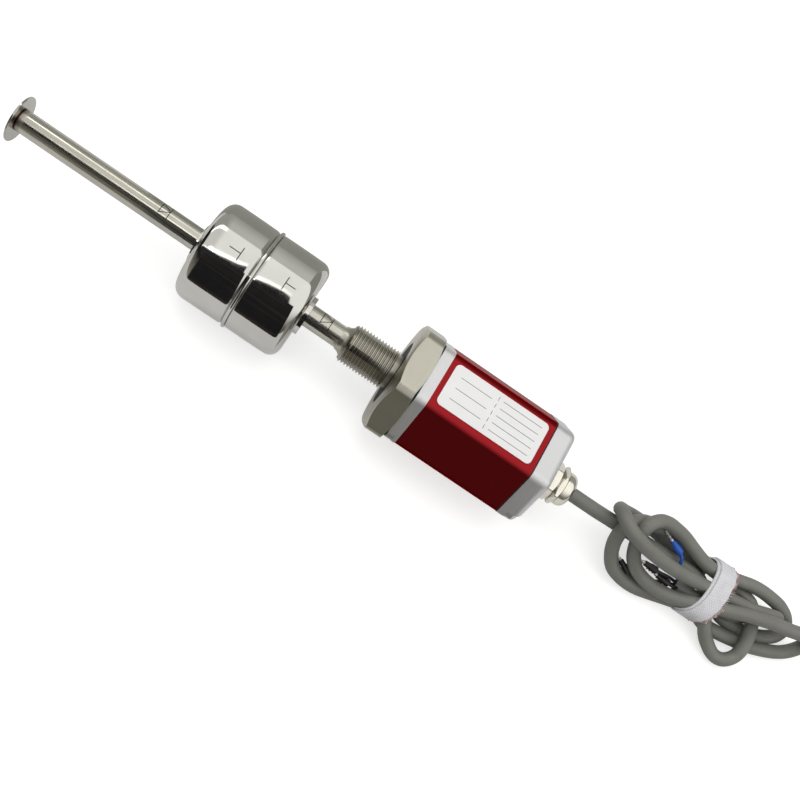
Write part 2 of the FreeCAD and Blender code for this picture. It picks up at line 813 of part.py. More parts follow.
def pickup():
    outer = register_bore + s.register_wall - s.carrier_clearance
    floor = s.carrier_flange + s.carrier_floor
    end = floor + s.coil_length
    node(turned("pickup_carrier", carrier_x, [
        (0, sleeve_hole),
        (0, outer),
        (s.carrier_flange, outer),
        (s.carrier_flange, hub_radius),
        (end, hub_radius),
        (end, coil_pocket),
        (floor, coil_pocket),
        (floor, sleeve_hole),
    ]))
    coil = s.coil_diameter / 2
    winding = coil - s.coil_winding_depth
    node(turned("pickup_coil", coil_x, [
        (0, wire_hole),
        (0, coil),
        (s.coil_cheek, coil),
        (s.coil_cheek, winding),
        (s.coil_length - s.coil_cheek, winding),
        (s.coil_length - s.coil_cheek, coil),
        (s.coil_length, coil),
        (s.coil_length, wire_hole),
    ]))
    node(block("bias_magnet", carrier_x + s.carrier_flange, -s.bias_magnet_side / 2,
               hub_radius + s.coil_clearance, s.bias_magnet_length, s.bias_magnet_side, s.bias_magnet_side))


def electronics():
    node(block("circuit_board", board_x, -board_half, board_bottom_z,
               s.board_length, 2 * board_half, s.board_thickness))
    blocks = []
    for index, (along, aside, length, width, height) in enumerate(BOARD_PARTS, start=1):
        blocks.append(block(f"board_part_{index}", board_x + along, formula(aside), board_top_z,
                            length, width, height))
    node(group("board_components", blocks))
    node(block("terminal_block", terminal_x, -s.terminal_width / 2, board_top_z,
               s.terminal_length, s.terminal_width, s.terminal_rise - board_top_z))
    start = terminal_x + s.terminal_length
    cores = []
    for index in range(CORE_COUNT):
        aside = (index - (CORE_COUNT - 1) / 2) * s.core_spacing
        cores.append(round_bar(f"core_{index + 1}", start, jacket_x - start, s.core_diameter / 2, aside))
    node(group("inner_cores", cores))


def hank_ellipse(name, section, widen=0, lean=0):
    along, aside, height, half_width, half_height = section
    ellipse = doc.addObject("Part::Ellipse", name)
    bind(ellipse, "MajorRadius", half_width + formula(widen))
    bind(ellipse, "MinorRadius", (half_height + formula(widen)) / cosine(lean))
    ellipse.Placement.Rotation = FreeCAD.Rotation(FreeCAD.Vector(0, 1, 0), lean) * ALONG_X
    return place(ellipse, hank_x + along, aside, floor_z + height)


def cable():
    node(round_bar("cable_lead", jacket_x, hank_x - jacket_x, cable_radius))

    strap_along = HANK_WAIST[0] + s.waist_margin
    waist_end = (strap_along + s.strap_width + s.waist_margin,) + HANK_WAIST[1:]
    sections = HANK_LEFT + (HANK_WAIST, waist_end) + HANK_RIGHT
    ellipses = [hank_ellipse(f"hank_section_{i}", section) for i, section in enumerate(sections, start=1)]
    hank = doc.addObject("Part::Loft", "cable_hank")
    hank.Sections = ellipses
    hank.Solid = True
    hank.Ruled = True
    node(hank)

    walls = []
    for name, widen in (("outside", s.strap_clearance + s.strap_thickness), ("inside", s.strap_clearance)):
        band = doc.addObject("Part::Extrusion", f"strap_{name}")
        line = (strap_along,) + HANK_WAIST[1:]
        band.Base = hank_ellipse(f"strap_{name}_line", line, widen, STRAP_LEAN)
        band.DirMode = "Custom"
        band.Dir = FreeCAD.Vector(1, 0, 0)
        band.Solid = True
        bind(band, "LengthFwd", s.strap_width)
        walls.append(band)
    node(cut("hank_strap", walls[0], walls[1]))


def ferrules(name, places):
    tip = s.ferrule_tip_length
    collar = tip + s.ferrule_collar_length
    made = []
    for index, (along, aside, height, turn) in enumerate(places, start=1):
        piece = turned(f"{name}_{index}", hank_x + along, [
            (0, 0),
            (0, s.ferrule_tip_diameter / 2),
            (tip, s.ferrule_tip_diameter / 2),
            (tip, s.ferrule_collar_diameter / 2),
            (collar, s.ferrule_collar_diameter / 2),
            (collar, s.ferrule_core_diameter / 2),
            (collar + s.ferrule_core_length, s.ferrule_core_diameter / 2),
            (collar + s.ferrule_core_length, 0),
        ], formula(aside), floor_z + height)
        piece.Placement.Rotation = FreeCAD.Rotation(FreeCAD.Vector(0, 0, 1), turn)
        made.append(piece)
    node(group(name, made))


sensing_rod()
process_fitting()
float_shells()
front_cap()
housing_tube()
rear_cap()
label_plate()
cable_gland()
waveguide()
pickup()
electronics()
cable()
ferrules("blue_ferrule", BLUE_FERRULES)
ferrules("black_ferrules", BLACK_FERRULES)
doc.recompute()

failed = [obj.Name for obj in doc.Objects if "Invalid" in obj.State or "Error" in obj.State]
if failed:
    raise RuntimeError("these objects failed: " + ", ".join(failed))
for obj in nodes:
    if obj.Shape.isNull() or not obj.Shape.isValid() or not obj.Shape.Solids:
        raise RuntimeError(f"{obj.Label} has no valid solid")

os.makedirs("parts", exist_ok=True)
for obj in nodes:
    obj.Shape.exportStep(f"parts/{obj.Label}.step")
    print(f"{obj.Label}: {len(obj.Shape.Solids)} solid(s), {obj.Shape.Volume:.1f} mm3")
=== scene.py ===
import math

import bmesh
import bpy
from mathutils import Euler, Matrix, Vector


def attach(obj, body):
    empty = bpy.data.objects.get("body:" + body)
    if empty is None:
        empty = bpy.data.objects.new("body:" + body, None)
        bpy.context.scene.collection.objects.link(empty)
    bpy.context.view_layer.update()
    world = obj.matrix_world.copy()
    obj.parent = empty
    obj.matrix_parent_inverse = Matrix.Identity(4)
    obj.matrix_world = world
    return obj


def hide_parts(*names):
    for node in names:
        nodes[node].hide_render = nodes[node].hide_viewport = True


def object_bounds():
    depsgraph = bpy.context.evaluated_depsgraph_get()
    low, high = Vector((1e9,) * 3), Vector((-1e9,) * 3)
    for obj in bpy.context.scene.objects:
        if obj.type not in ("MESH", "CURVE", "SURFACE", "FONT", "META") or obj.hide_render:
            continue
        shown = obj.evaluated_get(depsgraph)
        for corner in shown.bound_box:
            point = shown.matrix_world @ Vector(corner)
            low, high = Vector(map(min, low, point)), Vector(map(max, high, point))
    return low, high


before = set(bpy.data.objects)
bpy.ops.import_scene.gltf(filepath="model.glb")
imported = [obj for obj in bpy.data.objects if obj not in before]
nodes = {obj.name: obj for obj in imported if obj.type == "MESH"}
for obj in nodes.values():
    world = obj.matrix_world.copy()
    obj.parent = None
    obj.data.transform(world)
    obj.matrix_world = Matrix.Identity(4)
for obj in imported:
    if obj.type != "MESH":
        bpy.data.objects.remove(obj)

cadLow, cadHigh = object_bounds()
mm = 0.001
weldGap = 1e-6
smoothAngle = math.radians(40)
floorLevel = cadLow.z
scene = bpy.context.scene
scene.view_settings.view_transform = "Standard"


# small helpers for working on one object at a time
def clearSelection():
    if bpy.context.object and bpy.context.object.mode != "OBJECT":
        bpy.ops.object.mode_set(mode="OBJECT")
    bpy.ops.object.select_all(action="DESELECT")


def takeUp(piece):
    clearSelection()
    piece.select_set(True)
    bpy.context.view_layer.objects.active = piece


def settle(piece):
    takeUp(piece)
    bpy.ops.object.transform_apply(location=True, rotation=True, scale=True)


def startEdit(piece):
    takeUp(piece)
    bpy.ops.object.mode_set(mode="EDIT")
    bpy.ops.mesh.select_mode(type="VERT")
    bpy.ops.mesh.select_all(action="SELECT")


def endEdit():
    bpy.ops.object.mode_set(mode="OBJECT")


def dress(piece, finish):
    piece.data.materials.clear()
    piece.data.materials.append(finish)


def joinInto(piece, others):
    takeUp(piece)
    for other in others:
        other.select_set(True)
    bpy.ops.object.join()


# camera: above the label face, on the near side of the rod
cameraSetup = {
    "place": (-39.1, -186.4, 426.8),
    "turn": (16.122, -17.118, 30.508),
    "lens": 50.2,
    "sensor": 36,
}
cameraData = bpy.data.cameras.new("photoCamera")
cameraData.lens = cameraSetup["lens"]
cameraData.sensor_width = cameraSetup["sensor"]
photoCamera = bpy.data.objects.new("photoCamera", cameraData)
photoCamera.location = [v * mm for v in cameraSetup["place"]]
photoCamera.rotation_euler = [math.radians(v) for v in cameraSetup["turn"]]
scene.collection.objects.link(photoCamera)
scene.camera = photoCamera
print("camera set")


# the cable's route: from the gland to the strap, then loop after loop to the jacket's end
cable = {
    "diameter": 6.4,
    "length": 877.6,
    "route": {
        "lead": [
            (91.8, 0, 0), (97, 0, 0), (107, 0.62, -1.3), (115.5, 1.78, -3.2), (125.5, 2.9, -5.5),
            (135, 3.9, -7.5), (144.5, 4.9, -9.5), (153, 5.9, -11.5), (165, 7.4, -13.5), (176, 3.4, -16),
        ],
        "rightFold": [
            (185.5, 0.4, -15), (190.5, 2.4, -15.5), (195, 5.4, -19), (200.5, 8.4, -20.8),
            (206, 10.4, -20.5), (208.5, 11.4, -15.5), (207, 10.9, -9.5), (202, 8.9, -7.5),
            (197.5, 7.4, -7.5), (193.5, 6.4, -8), (188.5, 5.9, -9),
        ],
        "topLeftLoop": [
            (179, 4.9, -9.5), (169.5, 3.4, -8.5), (162, 1.4, -6), (154.5, -0.6, -3), (145.5, -2.6, 1),
            (137.5, -3.6, 4.5), (130, -4.6, 8), (123.5, -4.1, 10.5), (119, -3.6, 12), (115.5, -1.1, 12),
            (113.5, 2.9, 8.5), (114, 6.9, 1.5), (118, 9.4, -4.5), (124, 11.9, -8.5), (131, 13.4, -12),
            (139, 14.9, -15.5), (147, 15.4, -18.5), (155, 14.9, -20), (162, 12.9, -19.5),
        ],
        "farRightLoop": [
            (169, 9.4, -18.5), (178, 3.9, -20), (187, -0.1, -20.8), (194.5, -0.1, -20.8),
            (202, 0.9, -20.8), (208, 2.9, -20.8), (212.5, 5.4, -20.8), (216, 8.4, -20.8),
            (217, 12.4, -18.5), (213.5, 15.9, -15.5), (208, 17.4, -12.5), (202, 17.4, -10.5),
            (195.5, 17.4, -9.5), (189.5, 16.9, -9.5), (184, 15.4, -9.5),
        ],
        "middleLeftLoop": [
            (178, 13.9, -9.5), (170, 12.4, -10), (162, 12.4, -7.5), (155, 13.4, -5), (148, 14.4, -2),
            (141.5, 13.9, 1), (135.5, 12.9, 4), (131, 10.4, 6), (127.5, 6.4, 7), (126.5, 2.9, 5),
            (127.5, -0.6, 1), (129.5, -3.1, -2.5), (132, -5.6, -6), (136.5, -7.6, -10),
            (142, -8.6, -12.5), (148, -9.1, -13.5), (155, -8.6, -13.5), (161, -7.6, -12.5),
            (166.5, -6.1, -10.5),
        ],
        "longRightLoop": [
            (173.5, -3.6, -9.5), (181, -1.6, -7), (187, -0.1, -3.5), (192.5, 1.4, -1.5),
            (197.5, 2.9, -2), (203.5, 4.9, -3), (210, 6.4, -4.5), (216, 8.4, -5.5), (222, 9.9, -6.5),
            (226, 10.4, -11), (227, 8.9, -17), (224, 4.9, -20.5), (219, 1.4, -20.8),
            (213.5, -1.1, -20.8), (208, -3.1, -20.8), (203, -4.6, -20.8), (197, -5.6, -20.8),
            (191.5, -6.6, -20.8),
        ],
        "lowLeftLoop": [
            (181, -8.1, -20), (174, -6.6, -17), (167, -6.6, -16), (160, -7.6, -18.5),
            (151.5, -9.6, -20), (143.5, -11.6, -20), (136, -12.1, -18.5), (129.5, -11.6, -15.5),
            (125, -9.6, -11.5), (121.5, -6.6, -6.5), (119.5, -3.6, -1.5), (119.5, 0.4, 2),
            (122, 4.9, 2.5), (127, 8.9, 0), (133.5, 11.4, -3), (140, 14.4, -6), (147, 15.9, -8.5),
            (155, 15.9, -11), (162, 15.9, -13.5),
        ],
        "shortRightLoop": [
            (169, 14.6, -14.5), (179, 14.6, -15.5), (187, 13.9, -15.5), (191, 12.9, -14.5),
            (194.5, 11.4, -14), (197, 8.4, -14), (198.5, 4.4, -14), (199.5, 0.4, -14),
            (200, -4.1, -14.5), (200, -8.6, -15.5), (200, -12.1, -18), (198, -15.1, -19.5),
            (195, -17.1, -20.5), (190.5, -17.1, -20.5), (186.5, -15.1, -19.5), (182.5, -13.1, -17.5),
            (178.5, -10.1, -14), (175, -5.1, -13), (169, -1.1, -14.5), (159, -0.6, -16.5),
        ],
    },
}


def layCord(name, points, diameter, rounds=4):
    line = bpy.data.curves.new(name, "CURVE")
    line.dimensions = "3D"
    spline = line.splines.new("NURBS")
    spline.points.add(len(points) - 1)
    for slot, point in zip(spline.points, points):
        slot.co = (point[0] * mm, point[1] * mm, point[2] * mm, 1)
        slot.radius = diameter / 2 * mm
    spline.order_u = 3
    spline.use_endpoint_u = True
    spline.resolution_u = 6
    line.bevel_depth = 1  # the points carry the size, so the curve's box is the cord's
    line.bevel_resolution = rounds
    line.use_fill_caps = True
    cord = bpy.data.objects.new(name, line)
    scene.collection.objects.link(cord)
    return cord


cablePoints = [point for stretch in cable["route"].values() for point in stretch]
cableRun = layCord("cableRun", cablePoints, cable["diameter"])
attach(cableRun, "sensor")
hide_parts("cable_lead", "cable_hank")
print("cable laid")


# helpers for shader trees, where feed links a socket and sets any other value
def newGroup(name, inputs, outputs):
    group = bpy.data.node_groups.new(name, "ShaderNodeTree")
    for side, sockets in (("INPUT", inputs), ("OUTPUT", outputs)):
        for label, kind in sockets.items():
            group.interface.new_socket(name=label, in_out=side, socket_type="NodeSocket" + kind)
    entry = group.nodes.new("NodeGroupInput")
    leave = group.nodes.new("NodeGroupOutput")
    return group, entry.outputs, leave


def addNode(tree, kind, **settings):
    node = tree.nodes.new("ShaderNode" + kind)
    for key, value in settings.items():
        setattr(node, key, value)
    return node


def findNode(tree, kind):
    return next(node for node in tree.nodes if node.type == kind)


def feed(tree, node, values):
    for label, value in values.items():
        if isinstance(value, bpy.types.NodeSocket):
            tree.links.new(value, node.inputs[label])
        else:
            node.inputs[label].default_value = value


def maths(tree, operation, *values):
    node = addNode(tree, "Math", operation=operation)
    feed(tree, node, dict(enumerate(values)))
    return node.outputs[0]


def mapRange(tree, value, start, stop, low=0, high=1, **settings):
    node = addNode(tree, "MapRange", **settings)
    feed(tree, node, {"Value": value, "From Min": start, "From Max": stop, "To Min": low, "To Max": high})
    return node.outputs[0]


def mixTones(tree, first, second, factor, **settings):
    node = addNode(tree, "Mix", data_type="RGBA", **settings)
    tones = [(*tone, 1) if isinstance(tone, tuple) else tone for tone in (first, second)]
    feed(tree, node, {"Factor": factor, "A": tones[0], "B": tones[1]})
    return node.outputs["Result"]


def splitAxes(tree, place):
    node = addNode(tree, "SeparateXYZ")
    tree.links.new(place, node.inputs[0])
    return node.outputs


def useGroup(tree, group, **values):
    node = addNode(tree, "Group", node_tree=group)
    feed(tree, node, values)
    return node.outputs[0]


# fine grain drawn out along one direction: lathe rings, polishing streaks, extrusion lines, grit
grainLook = {"detail": 3, "spread": (0.25, 0.75)}
grainGroup, grainIn, grainOut = newGroup(
    "drawnGrain", {"Vector": "Vector", "Stretch": "Vector", "Detail": "Float"}, {"Grain": "Float"}
)
grainScale = addNode(grainGroup, "VectorMath", operation="MULTIPLY")
feed(grainGroup, grainScale, {0: grainIn["Vector"], 1: grainIn["Stretch"]})
grainNoise = addNode(grainGroup, "TexNoise")
feed(grainGroup, grainNoise, {"Vector": grainScale.outputs[0], "Scale": 1, "Detail": grainIn["Detail"]})
feed(grainGroup, grainOut, {"Grain": grainNoise.outputs["Fac"]})

# cloudy change of tone: handling marks, oil film, uneven blasting
cloudLook = {"detail": 5, "rough": 0.6, "from": 0.3, "to": 0.7}
cloudGroup, cloudIn, cloudOut = newGroup(
    "cloudyTone",
    {"Vector": "Vector", "Scale": "Float", "Dark": "Color", "Light": "Color"},
    {"Tone": "Color"},
)
cloudNoise = addNode(cloudGroup, "TexNoise")
feed(cloudGroup, cloudNoise, {
    "Vector": cloudIn["Vector"], "Scale": cloudIn["Scale"],
    "Detail": cloudLook["detail"], "Roughness": cloudLook["rough"],
})
cloudMask = mapRange(cloudGroup, cloudNoise.outputs["Fac"], cloudLook["from"], cloudLook["to"])
cloudTone = mixTones(cloudGroup, cloudIn["Dark"], cloudIn["Light"], cloudMask)
feed(cloudGroup, cloudOut, {"Tone": cloudTone})

# laser marks: an open arrowhead with its point at zero, and a plain line, both in millimetres
slantPen = 0.82  # brings the slanted strokes to the width of the straight one
headGroup, headIn, headOut = newGroup(
    "markHead", dict.fromkeys(("Along", "Around", "Length", "Half", "Pen"), "Float"), {"Mask": "Float"}
)
headSide = maths(headGroup, "ABSOLUTE", headIn["Around"])
headSlope = maths(headGroup, "DIVIDE", headIn["Half"], headIn["Length"])
headEdge = maths(headGroup, "MULTIPLY_ADD", headIn["Along"], headSlope, headSide)
headSlant = maths(headGroup, "MULTIPLY", headEdge, slantPen)
headBack = maths(headGroup, "ADD", headIn["Along"], headIn["Length"])
headBehind = maths(headGroup, "MULTIPLY", headBack, -1)
headInside = maths(headGroup, "MAXIMUM", headSlant, headBehind)
headRing = maths(headGroup, "LESS_THAN", maths(headGroup, "ABSOLUTE", headInside), headIn["Pen"])
feed(headGroup, headOut, {"Mask": headRing})

lineGroup, lineIn, lineOut = newGroup(
    "markLine", dict.fromkeys(("Across", "Along", "Reach", "Pen"), "Float"), {"Mask": "Float"}
)
lineAcross = maths(lineGroup, "ABSOLUTE", lineIn["Across"])
lineAlong = maths(lineGroup, "ABSOLUTE", lineIn["Along"])
lineThin = maths(lineGroup, "LESS_THAN", lineAcross, lineIn["Pen"])
lineLong = maths(lineGroup, "LESS_THAN", lineAlong, lineIn["Reach"])
feed(lineGroup, lineOut, {"Mask": maths(lineGroup, "MULTIPLY", lineThin, lineLong)})


def startFinish(name):
    finish = bpy.data.materials.new(name)
    finish.use_nodes = True
    tree = finish.node_tree
    return finish, tree, findNode(tree, "BSDF_PRINCIPLED")


def makeFinish(name, spec):
    finish, tree, shader = startFinish(name)
    where = addNode(tree, "TexCoord").outputs["Object"]
    tone = useGroup(
        tree, cloudGroup, Vector=where, Scale=spec["cloud"],
        Dark=(*spec["dark"], 1), Light=(*spec["light"], 1),
    )
    grain = useGroup(tree, grainGroup, Vector=where, Stretch=spec["stretch"], Detail=grainLook["detail"])
    roughness = mapRange(tree, grain, *spec.get("spread", grainLook["spread"]), *spec["rough"])
    strength, height = spec["bump"]
    bump = addNode(tree, "Bump")
    feed(tree, bump, {"Strength": strength, "Distance": height * mm, "Height": grain})
    feed(tree, shader, {
        "Base Color": tone, "Metallic": spec.get("metal", 0),
        "Roughness": roughness, "Normal": bump.outputs[0],
    })
    if "shine" in spec:
        shader.inputs["Specular IOR Level"].default_value = spec["shine"]
    if "edge" in spec:
        shader.inputs["Specular Tint"].default_value = (*spec["edge"], 1)
    return finish


finishes = {
    "polished_stainless": {
        "light": (0.58, 0.575, 0.555), "dark": (0.52, 0.515, 0.495), "cloud": 55, "metal": 1,
        "stretch": (60, 1500, 1500), "rough": (0.04, 0.09), "bump": (0.02, 0.02),
    },
    "rod_stainless": {
        "light": (0.5, 0.487, 0.435), "dark": (0.44, 0.43, 0.385), "cloud": 70, "metal": 1,
        "stretch": (25, 6000, 6000), "rough": (0.08, 0.3), "spread": (0.4, 0.6), "bump": (0.02, 0.01),
    },
    "turned_stainless": {
        "light": (0.47, 0.455, 0.395), "dark": (0.44, 0.425, 0.365), "cloud": 60, "metal": 1,
        "stretch": (3000, 120, 120), "rough": (0.26, 0.38), "bump": (0.03, 0.01),
    },
    "washer_steel": {
        "light": (0.46, 0.455, 0.43), "dark": (0.42, 0.415, 0.39), "cloud": 160, "metal": 1,
        "stretch": (900, 900, 900), "rough": (0.08, 0.15), "bump": (0.03, 0.01),
    },
    "weld_land": {
        "light": (0.54, 0.52, 0.48), "dark": (0.44, 0.42, 0.38), "cloud": 500, "metal": 1,
        "stretch": (2400, 900, 900), "rough": (0.28, 0.42), "bump": (0.1, 0.02),
    },
    "thread_stainless": {
        "light": (0.58, 0.56, 0.51), "dark": (0.5, 0.48, 0.43), "cloud": 140, "metal": 1,
        "stretch": (2600, 60, 60), "rough": (0.1, 0.18), "bump": (0.03, 0.01),
    },
    "screw_steel": {
        "light": (0.72, 0.72, 0.71), "dark": (0.58, 0.58, 0.58), "cloud": 300, "metal": 1,
        "stretch": (900, 900, 900), "rough": (0.24, 0.4), "bump": (0.1, 0.04),
    },
    "red_anodised": {
        "light": (0.275, 0.015, 0.019), "dark": (0.255, 0.013, 0.017), "cloud": 45, "metal": 1,
        "stretch": (30, 3600, 3600), "rough": (0.2, 0.28), "bump": (0.08, 0.02), "edge": (0.5, 0.1, 0.1),
    },
    "satin_aluminium": {
        "light": (0.635, 0.635, 0.655), "dark": (0.6, 0.6, 0.62), "cloud": 60, "metal": 0.85,
        "stretch": (5200, 5200, 5200), "rough": (0.38, 0.5), "bump": (0.15, 0.03),
    },
    "black_rubber": {
        "light": (0.024, 0.024, 0.025), "dark": (0.014, 0.014, 0.015), "cloud": 200,
        "stretch": (2600, 2600, 2600), "rough": (0.5, 0.68), "bump": (0.2, 0.04), "shine": 0.15,
    },
    "nickel_brass": {
        "light": (0.78, 0.755, 0.68), "dark": (0.68, 0.65, 0.57), "cloud": 160, "metal": 1,
        "stretch": (2600, 300, 300), "rough": (0.1, 0.24), "bump": (0.02, 0.01),
    },
    "label_white": {
        "light": (0.67, 0.67, 0.682), "dark": (0.645, 0.645, 0.66), "cloud": 120,
        "stretch": (2400, 2400, 2400), "rough": (0.36, 0.5), "bump": (0.08, 0.02),
    },
    "magnet_ferrite": {
        "light": (0.075, 0.07, 0.068), "dark": (0.04, 0.038, 0.038), "cloud": 300,
        "stretch": (2200, 2200, 2200), "rough": (0.45, 0.65), "bump": (0.3, 0.05),
    },
    "board_green": {
        "light": (0.025, 0.16, 0.06), "dark": (0.015, 0.11, 0.04), "cloud": 180,
        "stretch": (1800, 1800, 300), "rough": (0.3, 0.45), "bump": (0.15, 0.03),
    },
    "component_black": {
        "light": (0.035, 0.035, 0.038), "dark": (0.02, 0.02, 0.022), "cloud": 400,
        "stretch": (4200, 4200, 4200), "rough": (0.4, 0.6), "bump": (0.2, 0.02),
    },
    "terminal_grey": {
        "light": (0.3, 0.31, 0.32), "dark": (0.24, 0.25, 0.26), "cloud": 260,
        "stretch": (3200, 3200, 3200), "rough": (0.38, 0.52), "bump": (0.15, 0.02),
    },
    "carrier_plastic": {
        "light": (0.62, 0.6, 0.54), "dark": (0.52, 0.5, 0.44), "cloud": 240,
        "stretch": (2600, 2600, 2600), "rough": (0.35, 0.5), "bump": (0.15, 0.03),
    },
    "liner_plastic": {
        "light": (0.74, 0.74, 0.72), "dark": (0.64, 0.64, 0.62), "cloud": 200,
        "stretch": (60, 2600, 2600), "rough": (0.3, 0.45), "bump": (0.12, 0.03),
    },
    "coil_copper": {
        "light": (0.62, 0.26, 0.12), "dark": (0.45, 0.16, 0.07), "cloud": 300, "metal": 1,
        "stretch": (9000, 90, 90), "rough": (0.2, 0.36), "bump": (0.5, 0.06),
    },
    "waveguide_alloy": {
        "light": (0.6, 0.58, 0.54), "dark": (0.5, 0.48, 0.45), "cloud": 120, "metal": 1,
        "stretch": (40, 6000, 6000), "rough": (0.18, 0.3), "bump": (0.1, 0.01),
    },
    "core_insulation": {
        "light": (0.5, 0.36, 0.1), "dark": (0.42, 0.28, 0.07), "cloud": 240,
        "stretch": (1600, 1600, 1600), "rough": (0.35, 0.5), "bump": (0.12, 0.03),
    },
    "cable_grey": {
        "light": (0.162, 0.163, 0.148), "dark": (0.137, 0.138, 0.125), "cloud": 110,
        "stretch": (2600, 2600, 2600), "rough": (0.46, 0.62), "bump": (0.16, 0.05),
    },
    "strap_white": {
        "light": (0.72, 0.72, 0.75), "dark": (0.6, 0.6, 0.63), "cloud": 260,
        "stretch": (2600, 2600, 2600), "rough": (0.75, 0.92), "bump": (0.3, 0.12),
    },
    "strap_bristle": {
        "light": (0.72, 0.64, 0.64), "dark": (0.26, 0.07, 0.07), "cloud": 700,
        "stretch": (2600, 2600, 2600), "rough": (0.5, 0.7), "bump": (0.1, 0.02),
    },
    "ferrule_blue": {
        "light": (0.01, 0.085, 0.42), "dark": (0.007, 0.06, 0.33), "cloud": 400,
        "stretch": (2600, 2600, 2600), "rough": (0.3, 0.45), "bump": (0.12, 0.03),
    },
    "ferrule_black": {
        "light": (0.022, 0.018, 0.02), "dark": (0.012, 0.01, 0.011), "cloud": 400,
        "stretch": (2600, 2600, 2600), "rough": (0.3, 0.45), "bump": (0.12, 0.03),
    },
}
made = {name: makeFinish(name, spec) for name, spec in finishes.items()}


# what a made finish already holds: its tree, the coordinates it reads and the shader's colour
def openFinish(finish):
    tree = finish.node_tree
    where = findNode(tree, "TEX_COORD").outputs["Object"]
    colour = findNode(tree, "BSDF_PRINCIPLED").inputs["Base Color"]
    return tree, where, colour


# thread: painted shade, darker from the bright crests down into the grooves
threadTone = {"root": 8.1, "crest": 8.95, "grooveShade": (0.4, 0.385, 0.34)}


def shadeGrooves(finish):
    tree, where, colour = openFinish(finish)
    flatten = addNode(tree, "VectorMath", operation="MULTIPLY")
    feed(tree, flatten, {0: where, 1: (0, 1, 1)})
    reach = addNode(tree, "VectorMath", operation="LENGTH")
    tree.links.new(flatten.outputs[0], reach.inputs[0])
    height = mapRange(tree, reach.outputs["Value"], threadTone["root"] * mm, threadTone["crest"] * mm)
    # painted shade: the base colour darkens towards the thread's roots
    shadedThread = mixTones(tree, threadTone["grooveShade"], colour.links[0].from_socket, height)
    tree.links.new(shadedThread, colour)


# heat colours beside the weld at the rod's tip, from the burnt line at the washer to clean metal
weldHeat = {
    "from": -181.5, "to": -178,
    "stops": [
        (0, (0.03, 0.027, 0.025)), (0.07, (0.06, 0.045, 0.04)), (0.12, (0.5, 0.33, 0.28)),
        (0.22, (0.85, 0.78, 0.74)), (0.6, (1, 1, 1)),
    ],
}


def heatTint(finish):
    tree, where, colour = openFinish(finish)
    axes = splitAxes(tree, where)
    along = mapRange(tree, axes["X"], weldHeat["from"] * mm, weldHeat["to"] * mm)
    ramp = addNode(tree, "ValToRGB")
    while len(ramp.color_ramp.elements) < len(weldHeat["stops"]):
        ramp.color_ramp.elements.new(1)
    for stop, (place, tint) in zip(ramp.color_ramp.elements, weldHeat["stops"]):
        stop.position = place
        stop.color = (*tint, 1)
    tree.links.new(along, ramp.inputs["Fac"])
    heated = mixTones(tree, colour.links[0].from_socket, ramp.outputs["Color"], 1, blend_type="MULTIPLY")
    tree.links.new(heated, colour)


shadeGrooves(made["thread_stainless"])
heatTint(made["weld_land"])


# the same finish with dark marks on it, laid out in millimetres along the axis and round the part
def markFinish(name, base, marks):
    finish = made[base].copy()
    finish.name = name
    tree, where, colour = openFinish(finish)
    axes = splitAxes(tree, where)
    along = maths(tree, "MULTIPLY", axes["X"], 1 / mm)
    if marks["radius"]:
        away = maths(tree, "SUBTRACT", marks["middle"][0] * mm, axes["Y"])
        up = maths(tree, "SUBTRACT", axes["Z"], marks["middle"][1] * mm)
        around = maths(tree, "MULTIPLY", maths(tree, "ARCTAN2", away, up), marks["radius"])
    else:
        around = maths(tree, "MULTIPLY", axes["Y"], 1 / mm)
    pen = marks["pen"]
    masks = []
    for x, side, length, half in marks["heads"]:
        fromX = maths(tree, "SUBTRACT", along, x)
        fromSide = maths(tree, "SUBTRACT", around, side)
        size = {"Length": length, "Half": half, "Pen": pen}
        masks.append(useGroup(tree, headGroup, Along=fromX, Around=fromSide, **size))
    for x, side, reach, lengthwise in marks["lines"]:
        fromX = maths(tree, "SUBTRACT", along, x)
        fromSide = maths(tree, "SUBTRACT", around, side)
        across, onward = (fromSide, fromX) if lengthwise else (fromX, fromSide)
        masks.append(useGroup(tree, lineGroup, Across=across, Along=onward, Reach=reach, Pen=pen))
    mask = masks[0]
    for other in masks[1:]:
        mask = maths(tree, "MAXIMUM", mask, other)
    inked = mixTones(tree, colour.links[0].from_socket, marks["ink"], mask)
    tree.links.new(inked, colour)
    return finish


# heads are (x, side, length, half width), lines (x, side, half length, lengthwise), flat where radius is 0
rodMarks = {
    "middle": (0, 0), "radius": 5, "ink": (0.03, 0.028, 0.025), "pen": 0.17,
    "heads": [(-32.6, -1.2, 4.4, 2.9), (-111.6, -1.0, 4.2, 2.6)],
    "lines": [(-32.6, -0.8, 3.7, False), (-111.6, -1.2, 3.6, False)],
}
floatMarks = {
    "middle": (-1.1, 0.4), "radius": 22.5, "ink": (0.03, 0.028, 0.025), "pen": 0.2,
    "heads": [],
    "lines": [
        (-77.6, 3.6, 3.1, False), (-80.2, 3.3, 2.6, True),
        (-56.8, 3.0, 3.0, False), (-54.5, 2.8, 2.3, True),
    ],
}
labelRows = (7, 3.5, 0, -3.5, -7)
labelRules = {
    "radius": 0, "ink": (0.09, 0.09, 0.1), "pen": 0.13,
    "heads": [],
    "lines": [
        *[(30.2, side, 7.6, True) for side in (5.2, 0, -5.2)],
        *[(52.2, side, 9.6, True) for side in labelRows],
        *[(40.4, side, 1, False) for side in labelRows],
    ],
}
made["rod_marked"] = markFinish("rod_marked", "rod_stainless", rodMarks)
made["float_marked"] = markFinish("float_marked", "polished_stainless", floatMarks)
made["label_ruled"] = markFinish("label_ruled", "label_white", labelRules)

